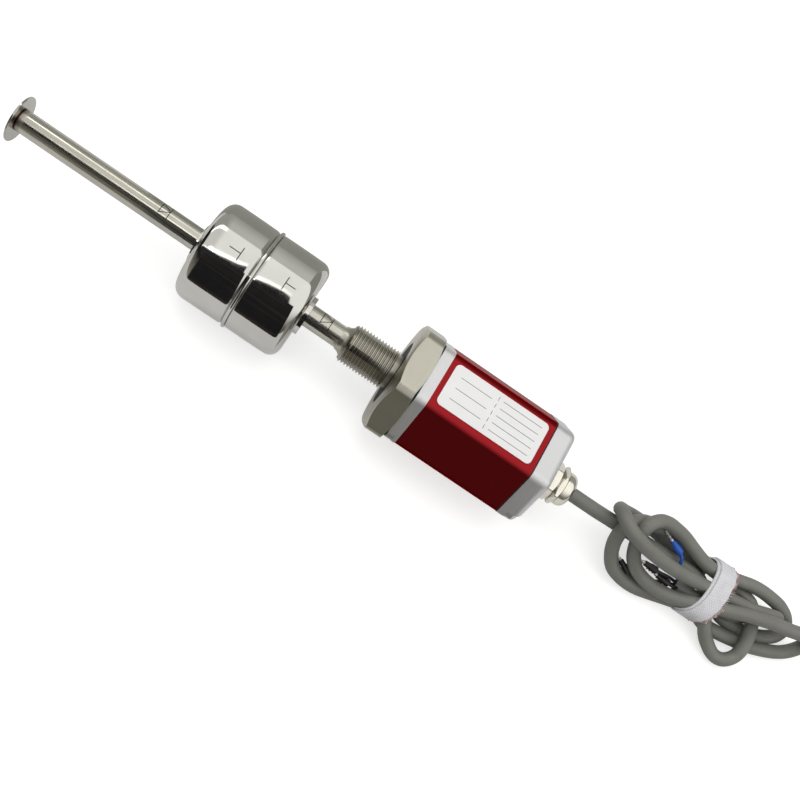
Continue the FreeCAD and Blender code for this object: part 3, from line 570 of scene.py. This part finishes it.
wearing = {
    "float_marked": ["float_front_shell", "float_rear_shell"],
    "polished_stainless": ["float_centre_tube"],
    "rod_marked": ["sensing_rod"],
    "turned_stainless": ["process_fitting"],
    "weld_land": ["rod_end_plug"],
    "washer_steel": ["stop_washer"],
    "screw_steel": ["front_cap_screws", "rear_cap_screws"],
    "red_anodised": ["housing_tube"],
    "satin_aluminium": ["front_cap", "rear_cap"],
    "black_rubber": [
        "sealing_ring", "front_gasket", "rear_gasket", "gland_washer", "gland_seal", "end_damper",
    ],
    "nickel_brass": ["gland_body", "gland_nut"],
    "label_ruled": ["label_plate"],
    "magnet_ferrite": ["float_magnet", "bias_magnet"],
    "board_green": ["circuit_board"],
    "component_black": ["board_components"],
    "terminal_grey": ["terminal_block"],
    "carrier_plastic": ["pickup_carrier"],
    "liner_plastic": ["waveguide_sleeve", "centring_sleeve"],
    "coil_copper": ["pickup_coil"],
    "waveguide_alloy": ["waveguide_wire"],
    "core_insulation": ["inner_cores"],
    "cable_grey": ["cable_lead", "cable_hank"],
    "strap_white": ["hank_strap"],
    "ferrule_blue": ["blue_ferrule"],
    "ferrule_black": ["black_ferrules"],
}
for finishName, members in wearing.items():
    for member in members:
        dress(nodes[member], made[finishName])
dress(cableRun, made["cable_grey"])
print("finishes made")


# process fitting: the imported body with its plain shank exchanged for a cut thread
fitting = {
    "crest": 9.0, "root": 8.08, "pitch": 1.5, "start": -22.92, "end": -2.2, "chamferEnd": -22.0, "steps": 72,
    "shankLeast": 8.0, "endGap": 0.1, "cutStart": -25.5, "cutSeed": 0.2, "turns": 17,
    "flankAngle": 30, "smooth": 32,
}


def radiusOf(point):
    return math.hypot(point.y, point.z)


def plainShank(face):
    inside = fitting["start"] * mm < face.calc_center_median().x < (fitting["end"] - fitting["endGap"]) * mm
    return inside and min(radiusOf(corner.co) for corner in face.verts) > fitting["shankLeast"] * mm


def dropFaces(piece, chosen):
    startEdit(piece)
    bpy.ops.mesh.select_all(action="DESELECT")
    bpy.ops.mesh.select_mode(type="FACE")
    shape = bmesh.from_edit_mesh(piece.data)
    for face in shape.faces:
        face.select = chosen(face)
    bmesh.update_edit_mesh(piece.data)
    bpy.ops.mesh.delete(type="FACE")
    endEdit()


def cutAcross(x, **cleared):
    bpy.ops.mesh.select_all(action="SELECT")
    bpy.ops.mesh.bisect(plane_co=(x * mm, 0, 0), plane_no=(1, 0, 0), **cleared)


def extrudeBy(x, z=0):
    bpy.ops.mesh.extrude_region_move(TRANSFORM_OT_translate={"value": (x, 0, z)})


processFitting = bpy.data.objects.new("processFitting", nodes["process_fitting"].data.copy())
scene.collection.objects.link(processFitting)
takeUp(processFitting)
bpy.ops.mesh.customdata_custom_splitnormals_clear()
startEdit(processFitting)
bpy.ops.mesh.remove_doubles(threshold=weldGap)
cutAcross(fitting["start"])
dropFaces(processFitting, plainShank)

# one pitch of the thread's outline, which the screw modifier winds along the shank
clearSelection()
bpy.ops.mesh.primitive_plane_add(
    size=fitting["cutSeed"] * mm, location=(fitting["cutStart"] * mm, 0, fitting["crest"] * mm)
)
threadCut = bpy.context.object
threadCut.name = "threadCut"
settle(threadCut)
startEdit(threadCut)
bpy.ops.mesh.merge(type="CENTER")
depth = fitting["crest"] - fitting["root"]
flank = depth * math.tan(math.radians(fitting["flankAngle"]))
flat = fitting["pitch"] / 8
for along, out in ((flat, 0), (flank, -depth), (fitting["pitch"] - flat - 2 * flank, 0), (flank, depth)):
    extrudeBy(along * mm, out * mm)
endEdit()
winding = threadCut.modifiers.new("winding", "SCREW")
winding.axis = "X"
winding.screw_offset = fitting["pitch"] * mm
winding.iterations = fitting["turns"]
winding.steps = fitting["steps"]
winding.render_steps = fitting["steps"]
winding.use_merge_vertices = True
winding.merge_threshold = weldGap
bpy.ops.object.modifier_apply(modifier="winding")
startEdit(threadCut)
bpy.ops.mesh.remove_doubles(threshold=weldGap)
cutAcross(fitting["end"], clear_outer=True)
cutAcross(fitting["start"], clear_inner=True)
bpy.ops.mesh.select_all(action="SELECT")
bpy.ops.mesh.normals_make_consistent(inside=False)
endEdit()
for corner in threadCut.data.vertices:
    most = fitting["crest"] * mm - max(0, fitting["chamferEnd"] * mm - corner.co.x)
    shrink = min(1, most / radiusOf(corner.co))
    corner.co.y *= shrink
    corner.co.z *= shrink
dress(threadCut, made["thread_stainless"])
dress(processFitting, made["turned_stainless"])
joinInto(processFitting, [threadCut])
bpy.ops.object.shade_smooth_by_angle(angle=math.radians(fitting["smooth"]))
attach(processFitting, "sensor")
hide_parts("process_fitting")
print("thread cut")


def ringAlongX(name, sides, radius, x, closing="NOTHING"):
    clearSelection()
    bpy.ops.mesh.primitive_circle_add(vertices=sides, radius=radius, fill_type=closing)
    ring = bpy.context.object
    ring.name = name
    ring.rotation_euler = (0, math.radians(90), 0)
    ring.location = (x, 0, 0)
    settle(ring)
    return ring


# rings drawn out along the x axis, the way a lathe leaves a shape
def turnedShape(name, outline, sides, closing="NGON"):
    x, radius = outline[0]
    shape = ringAlongX(name, sides, radius * mm, x * mm, closing)
    startEdit(shape)
    for (x0, r0), (x1, r1) in zip(outline, outline[1:]):
        extrudeBy((x1 - x0) * mm)
        bpy.ops.transform.resize(value=(1, r1 / r0, r1 / r0), center_override=(0, 0, 0))
    bpy.ops.mesh.select_all(action="SELECT")
    bpy.ops.mesh.remove_doubles(threshold=weldGap)
    bpy.ops.mesh.normals_make_consistent(inside=False)
    endEdit()
    bpy.ops.object.shade_smooth_by_angle(angle=smoothAngle)
    return shape


# float: two drawn shells, rolled in at the seam, with the weld bead standing between them
floatShells = {
    "start": -94.3, "side": -1.1, "lift": 0.4, "half": 25, "radius": 22.5, "hole": 8.9, "wall": 0.4,
    "corner": 5, "cornerSteps": 10, "faceRing": 13, "swell": [(8, 0.03), (13, 0.05), (18, 0.03)],
    "frontRoll": (2.4, 1.3), "rearRoll": (0.9, 0.7), "rollLead": 0.3, "rollSteps": 8, "sides": 176,
    "bead": 0.75, "beadRadius": 23.3, "beadFoot": 0.05,
    "beadSide": [(0.02, 0.55), (0.12, 0.25), (0.35, 0.05)],
}


def quarterTurn(steps):
    return [math.radians(90 * step / steps) for step in range(1, steps + 1)]


def shellOutline(roll):
    r = floatShells["radius"]
    c = floatShells["corner"]
    wall = floatShells["wall"]
    hole = floatShells["hole"]
    half = floatShells["half"]
    crown = floatShells["beadRadius"]
    bead = half - floatShells["bead"]
    along, inward = roll
    seam = r - inward
    outline = [(wall, hole), (0, hole), (0, floatShells["faceRing"]), (0, r - c)]
    for turn in quarterTurn(floatShells["cornerSteps"]):
        outline.append((c - c * math.cos(turn), r - c + c * math.sin(turn)))
    outline += [(x, r + rise) for x, rise in floatShells["swell"]]
    outline.append((bead - along - floatShells["rollLead"], r))
    for turn in quarterTurn(floatShells["rollSteps"]):
        outline.append((bead - along + along * math.sin(turn), seam + inward * math.cos(turn)))
    outline.append((bead, seam + floatShells["beadFoot"]))
    outline += [(bead + x, crown - below) for x, below in floatShells["beadSide"]]
    outline += [(half, crown), (half, seam - wall)]
    outline += [(bead - along, r - 2 * wall), (c, r - 2 * wall), (wall, r - c), (wall, hole)]
    return outline


def floatShell(name, roll, mirror, node):
    shell = turnedShape(name, shellOutline(roll), floatShells["sides"], closing="NOTHING")
    place = Vector((floatShells["start"], floatShells["side"], floatShells["lift"])) * mm
    for corner in shell.data.vertices:
        if mirror:
            corner.co.x = 2 * floatShells["half"] * mm - corner.co.x
        corner.co += place
    startEdit(shell)
    bpy.ops.mesh.normals_make_consistent(inside=False)
    endEdit()
    dress(shell, made["float_marked"])
    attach(shell, "float")
    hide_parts(node)


floatShell("frontShell", floatShells["frontRoll"], False, "float_front_shell")
floatShell("rearShell", floatShells["rearRoll"], True, "float_rear_shell")
print("float spun")


# crimped ferrules on the bared cores, with the core back to the jacket's end
ferrules = {
    "tip": [
        (0, 0.5), (0.12, 0.74), (0.5, 0.8), (0.8, 0.42), (1.3, 0.42), (1.6, 0.8), (2.1, 0.8), (2.4, 0.42),
        (2.9, 0.42), (3.2, 0.8), (3.7, 0.8), (4.0, 0.42), (4.5, 0.42), (4.8, 0.8), (6.2, 0.8),
    ],
    "collar": [(6, 1.1), (6.15, 1.3), (8.6, 1.36), (9.6, 1.7), (12.3, 1.7), (12.5, 1.5)],
    "core": 1.6, "coreRounds": 2, "tipSides": 20, "collarSides": 28, "leave": (12, 14.5),
    "leads": {
        "blueLead": {
            "start": (138.15, 11.9, -1.8), "turn": -20, "pitch": 9, "finish": "ferrule_blue",
            "route": [(154.6, 2.9, -9), (157, 0.9, -13), (160.5, -0.4, -16.2)],
        },
        "blackLeadLeft": {
            "start": (125.2, -4, -14.5), "turn": -25.7, "pitch": 0, "finish": "ferrule_black",
            "route": [(143, -7.1, -18), (149, -5.1, -18.5), (155, -2.1, -17.5), (160.5, -0.6, -16.8)],
        },
        "blackLeadRight": {
            "start": (142.3, -3.1, -13), "turn": -3, "pitch": 0, "finish": "ferrule_black",
            "route": [(159.5, -2.6, -14.5), (162.5, -1, -15.6)],
        },
        "blackLeadTop": {
            "start": (133.4, -3.2, -10), "turn": 1, "pitch": 0, "finish": "ferrule_black",
            "route": [(152, -2, -10.6), (156, -0.8, -13.5), (160.5, -0.2, -16)],
        },
    },
}


def crimpLead(name, lead):
    tip = turnedShape(name, ferrules["tip"], ferrules["tipSides"])
    dress(tip, made["screw_steel"])
    collar = turnedShape(name + "Collar", ferrules["collar"], ferrules["collarSides"])
    dress(collar, made[lead["finish"]])
    aim = Euler((0, math.radians(lead["pitch"]), math.radians(lead["turn"])))
    for part in (tip, collar):
        part.rotation_euler = aim
        part.location = [v * mm for v in lead["start"]]
        settle(part)
    heading = aim.to_matrix() @ Vector((1, 0, 0))
    leave = [tuple(Vector(lead["start"]) + heading * along) for along in ferrules["leave"]]
    core = layCord(name + "Core", leave + lead["route"], ferrules["core"], ferrules["coreRounds"])
    dress(core, made[lead["finish"]])
    takeUp(core)
    bpy.ops.object.convert(target="MESH")
    core = bpy.context.object
    joinInto(tip, [core, collar])
    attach(tip, "sensor")
    return tip


leads = {name: crimpLead(name, lead) for name, lead in ferrules["leads"].items()}
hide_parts("blue_ferrule")
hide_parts("black_ferrules")
print("ferrules crimped")


# hook and loop strap: a woven band round the hank, its tail lapped over the top
strap = {
    "middle": (170.6, 4.1, -13.9), "halfWide": 14.0, "halfHigh": 8.5, "square": 2.5, "lean": 21, "yaw": 6,
    "base": {"from": -4.9, "to": 3.4, "grow": 0}, "tail": {"from": -3.9, "to": 4.3, "grow": 0.85},
    "tailFrom": 4, "tailTo": 212, "thick": 0.78, "rim": 0.16, "sides": 240, "strips": 14, "mapLength": 76,
    "fray": 0.22, "frayEdge": 0.01, "frayRate": 12.9898,
    "hooks": {
        "count": 64, "from": 12, "to": 206, "out": 0.6, "sides": 4, "wide": 0.22, "tip": 0.15, "length": 1.9,
        "swayRate": 12.9898, "turnSway": 0.8, "rollSway": 0.5,
        "lengthRate": 7.1, "lengthSway": 0.35, "tiltRate": 4.7, "tiltSway": 0.45,
    },
}


def bandShape(name, layer):
    band = ringAlongX(name, strap["sides"], 1, layer["from"] * mm)
    startEdit(band)
    width = (layer["to"] - layer["from"]) * mm
    for _ in range(strap["strips"]):
        extrudeBy(width / strap["strips"])
    bpy.ops.mesh.select_all(action="SELECT")
    bpy.ops.mesh.normals_make_consistent(inside=False)
    endEdit()
    return band


def angleRound(point):
    return math.degrees(math.atan2(point.z, point.y)) % 360


def tailOpening(face):
    return not strap["tailFrom"] < angleRound(face.calc_center_median()) < strap["tailTo"]


# a point of the unit circle, taken out to the strap's rounded oblong
def oblong(y, z, grow):
    power = 2 / strap["square"]
    wide = (strap["halfWide"] + grow) * mm
    high = (strap["halfHigh"] + grow) * mm
    return math.copysign(abs(y) ** power, y) * wide, math.copysign(abs(z) ** power, z) * high


def wrapRound(piece, layer):
    for corner in piece.data.vertices:
        corner.co.y, corner.co.z = oblong(corner.co.y, corner.co.z, layer["grow"])
        if corner.co.x > (layer["to"] - strap["frayEdge"]) * mm:
            corner.co.x += math.sin(corner.index * strap["frayRate"]) * strap["fray"] * mm


def weaveMap(piece):
    weave = piece.data.uv_layers.new(name="weave")
    for loop in piece.data.loops:
        spot = piece.data.vertices[loop.vertex_index].co
        weave.data[loop.index].uv = (angleRound(spot) / 360 * strap["mapLength"], spot.x / mm)


def thicken(piece, amount):
    takeUp(piece)
    wall = piece.modifiers.new("wall", "SOLIDIFY")
    wall.thickness = amount * mm
    wall.offset = 1
    bpy.ops.object.modifier_apply(modifier="wall")
    rim = piece.modifiers.new("rim", "BEVEL")
    rim.width = strap["rim"] * mm
    rim.segments = 2
    rim.limit_method = "ANGLE"
    bpy.ops.object.modifier_apply(modifier="rim")


# loose hooks standing out from the strap's edge, before the band is leaned into place
def looseHooks(layer):
    loose = strap["hooks"]
    grow = layer["grow"] + strap["thick"] / 2
    hooks = []
    for count in range(loose["count"]):
        sway = math.sin(count * loose["swayRate"])
        turn = loose["from"] + (loose["to"] - loose["from"]) * count / loose["count"]
        turn = math.radians(turn + sway * loose["turnSway"])
        tilt = math.sin(count * loose["tiltRate"]) * loose["tiltSway"]
        length = loose["length"] * (1 + loose["lengthSway"] * math.sin(count * loose["lengthRate"])) * mm
        clearSelection()
        bpy.ops.mesh.primitive_cone_add(
            vertices=loose["sides"], radius1=loose["wide"] * mm, radius2=loose["tip"] * mm, depth=length,
            location=((layer["to"] + loose["out"]) * mm, *oblong(math.cos(turn), math.sin(turn), grow)),
            rotation=(sway * loose["rollSway"], math.radians(90) + tilt, 0),
        )
        hook = bpy.context.object
        settle(hook)
        hooks.append(hook)
    joinInto(hooks[0], hooks[1:])
    dress(hooks[0], made["strap_bristle"])
    return hooks[0]


def strapLayer(name, layer):
    piece = bandShape(name, layer)
    if layer["grow"]:
        dropFaces(piece, tailOpening)
    wrapRound(piece, layer)
    thicken(piece, strap["thick"])
    weaveMap(piece)
    dress(piece, made["strap_woven"])
    if layer["grow"]:
        joinInto(piece, [looseHooks(layer)])
    for corner in piece.data.vertices:
        corner.co.x += math.tan(math.radians(strap["lean"])) * corner.co.z
        corner.co.x += math.tan(math.radians(strap["yaw"])) * corner.co.y
        corner.co += Vector(strap["middle"]) * mm
    takeUp(piece)
    bpy.ops.object.shade_smooth_by_angle(angle=smoothAngle)
    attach(piece, "sensor")
    return piece


# woven face: over-and-under ribs on the strap's own map, their hollows darkened as painted shade, with
# reddish fluff towards the hooked edge
weaveLook = {
    "rate": 6.4, "shade": (0.6, 0.6, 0.63), "grit": 0.5,
    "fluff": (0.3, 0.13, 0.12), "fluffFrom": 3.9, "fluffTo": 4.5, "patchRate": 7.3, "patchLevel": -0.1,
}


def wovenFinish(name, base):
    finish = made[base].copy()
    finish.name = name
    tree = finish.node_tree
    colour = findNode(tree, "BSDF_PRINCIPLED").inputs["Base Color"]
    height = findNode(tree, "BUMP").inputs["Height"]
    axes = splitAxes(tree, addNode(tree, "UVMap", uv_map="weave").outputs["UV"])
    warp = maths(tree, "SINE", maths(tree, "MULTIPLY", axes["X"], weaveLook["rate"]))
    weft = maths(tree, "SINE", maths(tree, "MULTIPLY", axes["Y"], weaveLook["rate"]))
    rib = maths(tree, "MULTIPLY_ADD", maths(tree, "MULTIPLY", warp, weft), 0.5, 0.5)
    gritty = maths(tree, "MULTIPLY_ADD", height.links[0].from_socket, weaveLook["grit"], rib)
    tree.links.new(gritty, height)
    # painted shade: the base colour is multiplied darker in the weave's hollows
    hollowShade = maths(tree, "SUBTRACT", 1, rib)
    shade = mixTones(tree, colour.links[0].from_socket, weaveLook["shade"], hollowShade, blend_type="MULTIPLY")
    edge = mapRange(tree, axes["Y"], weaveLook["fluffFrom"], weaveLook["fluffTo"])
    patch = maths(tree, "SINE", maths(tree, "MULTIPLY", axes["X"], weaveLook["patchRate"]))
    patch = maths(tree, "GREATER_THAN", patch, weaveLook["patchLevel"])
    fluff = mixTones(tree, shade, weaveLook["fluff"], maths(tree, "MULTIPLY", edge, patch))
    tree.links.new(fluff, colour)
    return finish


made["strap_woven"] = wovenFinish("strap_woven", "strap_white")
strapBase = strapLayer("strapBase", strap["base"])
strapTail = strapLayer("strapTail", strap["tail"])
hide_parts("hank_strap")
print("strap closed")


# pale floor that stays white to the eye and to the metal, and still takes the shadow
floorSetup = {
    "size": 1.1, "gap": 0.0002, "white": (0.5, 0.5, 0.5), "rough": 0.9, "eyeLift": 0.6, "metalLift": 0.2,
}
clearSelection()
bpy.ops.mesh.primitive_plane_add(size=floorSetup["size"], location=(0, 0, floorLevel - floorSetup["gap"]))
studioFloor = bpy.context.object
studioFloor.name = "studioFloor"
settle(studioFloor)
floorFinish, floorTree, floorShader = startFinish("studioFloor")
rays = addNode(floorTree, "LightPath").outputs
mirrored = maths(floorTree, "MAXIMUM", rays["Is Glossy Ray"], rays["Is Transmission Ray"])
mirrored = maths(floorTree, "MULTIPLY", mirrored, floorSetup["metalLift"])
lift = maths(floorTree, "MULTIPLY_ADD", rays["Is Camera Ray"], floorSetup["eyeLift"], mirrored)
feed(floorTree, floorShader, {
    "Base Color": (*floorSetup["white"], 1), "Roughness": floorSetup["rough"], "Specular IOR Level": 0,
    "Emission Color": (1, 1, 1, 1), "Emission Strength": lift,
})
dress(studioFloor, floorFinish)


# flags and cards beside the object, seen only in its reflections, as a studio hangs them by bright metal;
# the cards glow with a fixed grey, painted reflections
def standCard(name, card, finish):
    clearSelection()
    outward = card["head"][0] - card["foot"][0]
    upward = card["head"][1] - card["foot"][1]
    middle = (
        (card["from"] + card["to"]) / 2 * mm, (card["foot"][0] + outward / 2) * mm,
        floorLevel + (card["foot"][1] + upward / 2) * mm,
    )
    bpy.ops.mesh.primitive_plane_add(size=1, location=middle)
    board = bpy.context.object
    board.name = name
    board.rotation_euler = (math.atan2(upward, outward), 0, 0)
    board.scale = ((card["to"] - card["from"]) * mm, math.hypot(outward, upward) * mm, 1)
    settle(board)
    dress(board, finish)
    board.visible_camera = False
    board.visible_diffuse = False
    board.visible_shadow = False


# a card that glows with a fixed grey though it is no lamp: a painted reflection
def glowingCard(name, grey):
    finish, tree, shader = startFinish(name)
    feed(tree, shader, {
        "Base Color": (0, 0, 0, 1), "Specular IOR Level": 0,
        "Emission Color": (*grey, 1), "Emission Strength": 1,
    })
    return finish


cards = {
    "nearCard": {"from": -4, "to": 84, "foot": (-36, 0), "head": (-36, 48), "grey": (0.21, 0.205, 0.18)},
    "farCard": {"from": -130, "to": -34, "foot": (24, 0), "head": (70, 58), "grey": (0.38, 0.38, 0.35)},
    "threadCard": {"from": -27, "to": -4, "foot": (-36, 0), "head": (-36, 48), "grey": (0.34, 0.325, 0.28)},
}
for cardName, card in cards.items():
    standCard(cardName, card, glowingCard(cardName, card["grey"]))

flag = {
    "from": -720, "to": 14, "foot": (-160, 0), "head": (-160, 420),
    "black": (0.026, 0.026, 0.029), "brown": (0.11, 0.068, 0.055), "pale": (0.5, 0.48, 0.43),
    "streak": (3, 1, 28), "streakFrom": 0.56, "streakTo": 0.72,
    "paleFrom": -132, "paleTo": -155, "paleTop": 150, "paleFoot": -24,
}
flagFinish, flagTree, flagShader = startFinish("blackFlag")
flagSpot = addNode(flagTree, "TexCoord").outputs["Object"]
flagAxes = splitAxes(flagTree, flagSpot)
flagGrain = useGroup(
    flagTree, grainGroup, Vector=flagSpot, Stretch=flag["streak"], Detail=grainLook["detail"]
)
# painted reflection: the black flag is streaked brown and paled towards its far end and its foot, standing
# for lit floor in the rod's reflection
flagStreak = mapRange(flagTree, flagGrain, flag["streakFrom"], flag["streakTo"])
flagEnd = mapRange(flagTree, flagAxes["X"], flag["paleFrom"] * mm, flag["paleTo"] * mm)
flagFoot = mapRange(flagTree, flagAxes["Z"], flag["paleTop"] * mm, flag["paleFoot"] * mm)
flagTone = mixTones(flagTree, flag["black"], flag["brown"], flagStreak)
flagTone = mixTones(flagTree, flagTone, flag["pale"], maths(flagTree, "MULTIPLY", flagEnd, flagFoot))
feed(flagTree, flagShader, {"Base Color": flagTone, "Specular IOR Level": 0})
standCard("blackFlag", flag, flagFinish)

# studio: wide overhead panel, pale wall behind, dark side towards the camera
studio = {
    "wall": (0.76, 0.76, 0.71), "wallFoot": (0.4, 0.4, 0.37), "footEdge": -68, "footSoft": 22,
    "wallDim": 0.44, "capSide": 0.1, "sideSoft": 0.03, "endWall": 0.88, "endSoft": 0.02,
    "panel": (1.3, 1.29, 1.25), "panelFrom": -39, "panelTo": 7, "panelSoft": 1.2, "edgeSoft": 1.5,
    "centre": -0.03, "spread": 160, "spreadMost": 0.19,
    "rodWall": (0.48, 0.48, 0.44), "rodPanel": (0.95, 0.94, 0.89),
    "strip": (3.6, 3.55, 3.4), "stripWide": 7, "stripGrow": 0.12, "endStripWide": 10,
    "farStripWide": 9, "farStripSoft": 0.6,
    "dark": (0.02, 0.02, 0.021), "grey": (0.17, 0.165, 0.15),
    "openFrom": -0.02, "openMost": 0.14, "openSpread": 420, "openSoft": 30,
}
world = bpy.data.worlds.new("studio")
scene.world = world
world.use_nodes = True
sky = world.node_tree
skyShade = sky.nodes["Background"]


def skyStep(value, edge, soft):
    return mapRange(sky, value, edge - soft, edge + soft, interpolation_type="SMOOTHSTEP")


def skyMix(first, second, factor):
    return mixTones(sky, first, second, factor)


# around is the angle about the rod's axis, in degrees from straight up, and x runs towards the cable
axes = splitAxes(sky, addNode(sky, "TexCoord").outputs["Generated"])
around = maths(sky, "ARCTAN2", maths(sky, "MULTIPLY", axes["Y"], -1), axes["Z"])
around = maths(sky, "MULTIPLY", around, 180 / math.pi)
rodward = maths(sky, "MULTIPLY", axes["X"], -1)
byRod = skyStep(rodward, studio["stripGrow"] + studio["sideSoft"], studio["sideSoft"])
byCap = skyStep(axes["X"], studio["capSide"], studio["sideSoft"])

# the panel's near edge comes farther down towards the camera on both sides of the centre
sideways = maths(sky, "ABSOLUTE", maths(sky, "SUBTRACT", axes["X"], studio["centre"]))
drop = maths(sky, "MULTIPLY", maths(sky, "MINIMUM", sideways, studio["spreadMost"]), studio["spread"])
opening = maths(sky, "SUBTRACT", axes["X"], studio["openFrom"])
opening = maths(sky, "MINIMUM", maths(sky, "MAXIMUM", opening, 0), studio["openMost"])
drop = maths(sky, "MAXIMUM", drop, maths(sky, "MULTIPLY", opening, studio["openSpread"]))
fromEdge = maths(sky, "SUBTRACT", around, drop)

# wall and panel, then the bright strips along the panel's two edges on the rod's side
wall = skyMix(studio["wallFoot"], studio["wall"], skyStep(around, studio["footEdge"], studio["footSoft"]))
wall = skyMix(wall, tuple(tone * studio["wallDim"] for tone in studio["wall"]), byCap)
wall = skyMix(wall, studio["rodWall"], byRod)
panel = skyMix(studio["panel"], studio["rodPanel"], byRod)
lit = skyMix(wall, panel, skyStep(around, studio["panelFrom"], studio["panelSoft"]))
farther = maths(sky, "DIVIDE", rodward, studio["stripGrow"])
farther = maths(sky, "MINIMUM", maths(sky, "MAXIMUM", farther, 0), 1)
nearEdge = maths(sky, "MULTIPLY_ADD", byRod, studio["endStripWide"], fromEdge)
nearStrip = skyStep(nearEdge, studio["panelTo"] - studio["stripWide"], studio["edgeSoft"])
lit = skyMix(lit, studio["strip"], maths(sky, "MULTIPLY", nearStrip, farther))
farHalf = studio["farStripWide"] / 2
farEdge = maths(sky, "ABSOLUTE", maths(sky, "SUBTRACT", around, studio["panelFrom"] + farHalf))
farStrip = maths(sky, "SUBTRACT", 1, skyStep(farEdge, farHalf, studio["farStripSoft"]))
lit = skyMix(lit, studio["strip"], maths(sky, "MULTIPLY", farStrip, byRod))

# the dark side, with a soft border by the housing, and white for the camera itself
greyStep = skyStep(axes["X"], studio["openFrom"] + studio["sideSoft"], studio["sideSoft"])
shade = skyMix(studio["dark"], studio["grey"], greyStep)
hardRoom = skyMix(lit, shade, skyStep(fromEdge, studio["panelTo"], studio["edgeSoft"]))
softStep = skyStep(fromEdge, studio["panelTo"] - studio["openSoft"] / 2, studio["openSoft"])
room = skyMix(hardRoom, skyMix(lit, shade, softStep), byCap)
room = skyMix(room, studio["dark"], skyStep(rodward, studio["endWall"], studio["endSoft"]))
room = skyMix(room, (1, 1, 1), addNode(sky, "LightPath").outputs["Is Camera Ray"])
feed(sky, skyShade, {"Color": room, "Strength": 1})

overhead = {"place": (-0.1, 0.25, 1.1), "aim": (0, 0, 0), "size": 0.9, "power": 3.5}
lampData = bpy.data.lights.new("overhead", "AREA")
lampData.size = overhead["size"]
lampData.energy = overhead["power"]
lamp = bpy.data.objects.new("overhead", lampData)
lamp.location = overhead["place"]
toward = Vector(overhead["aim"]) - Vector(overhead["place"])
lamp.rotation_euler = toward.to_track_quat("-Z", "Y").to_euler()
lamp.visible_glossy = False
scene.collection.objects.link(lamp)
print("studio lit")

bpy.context.view_layer.update()
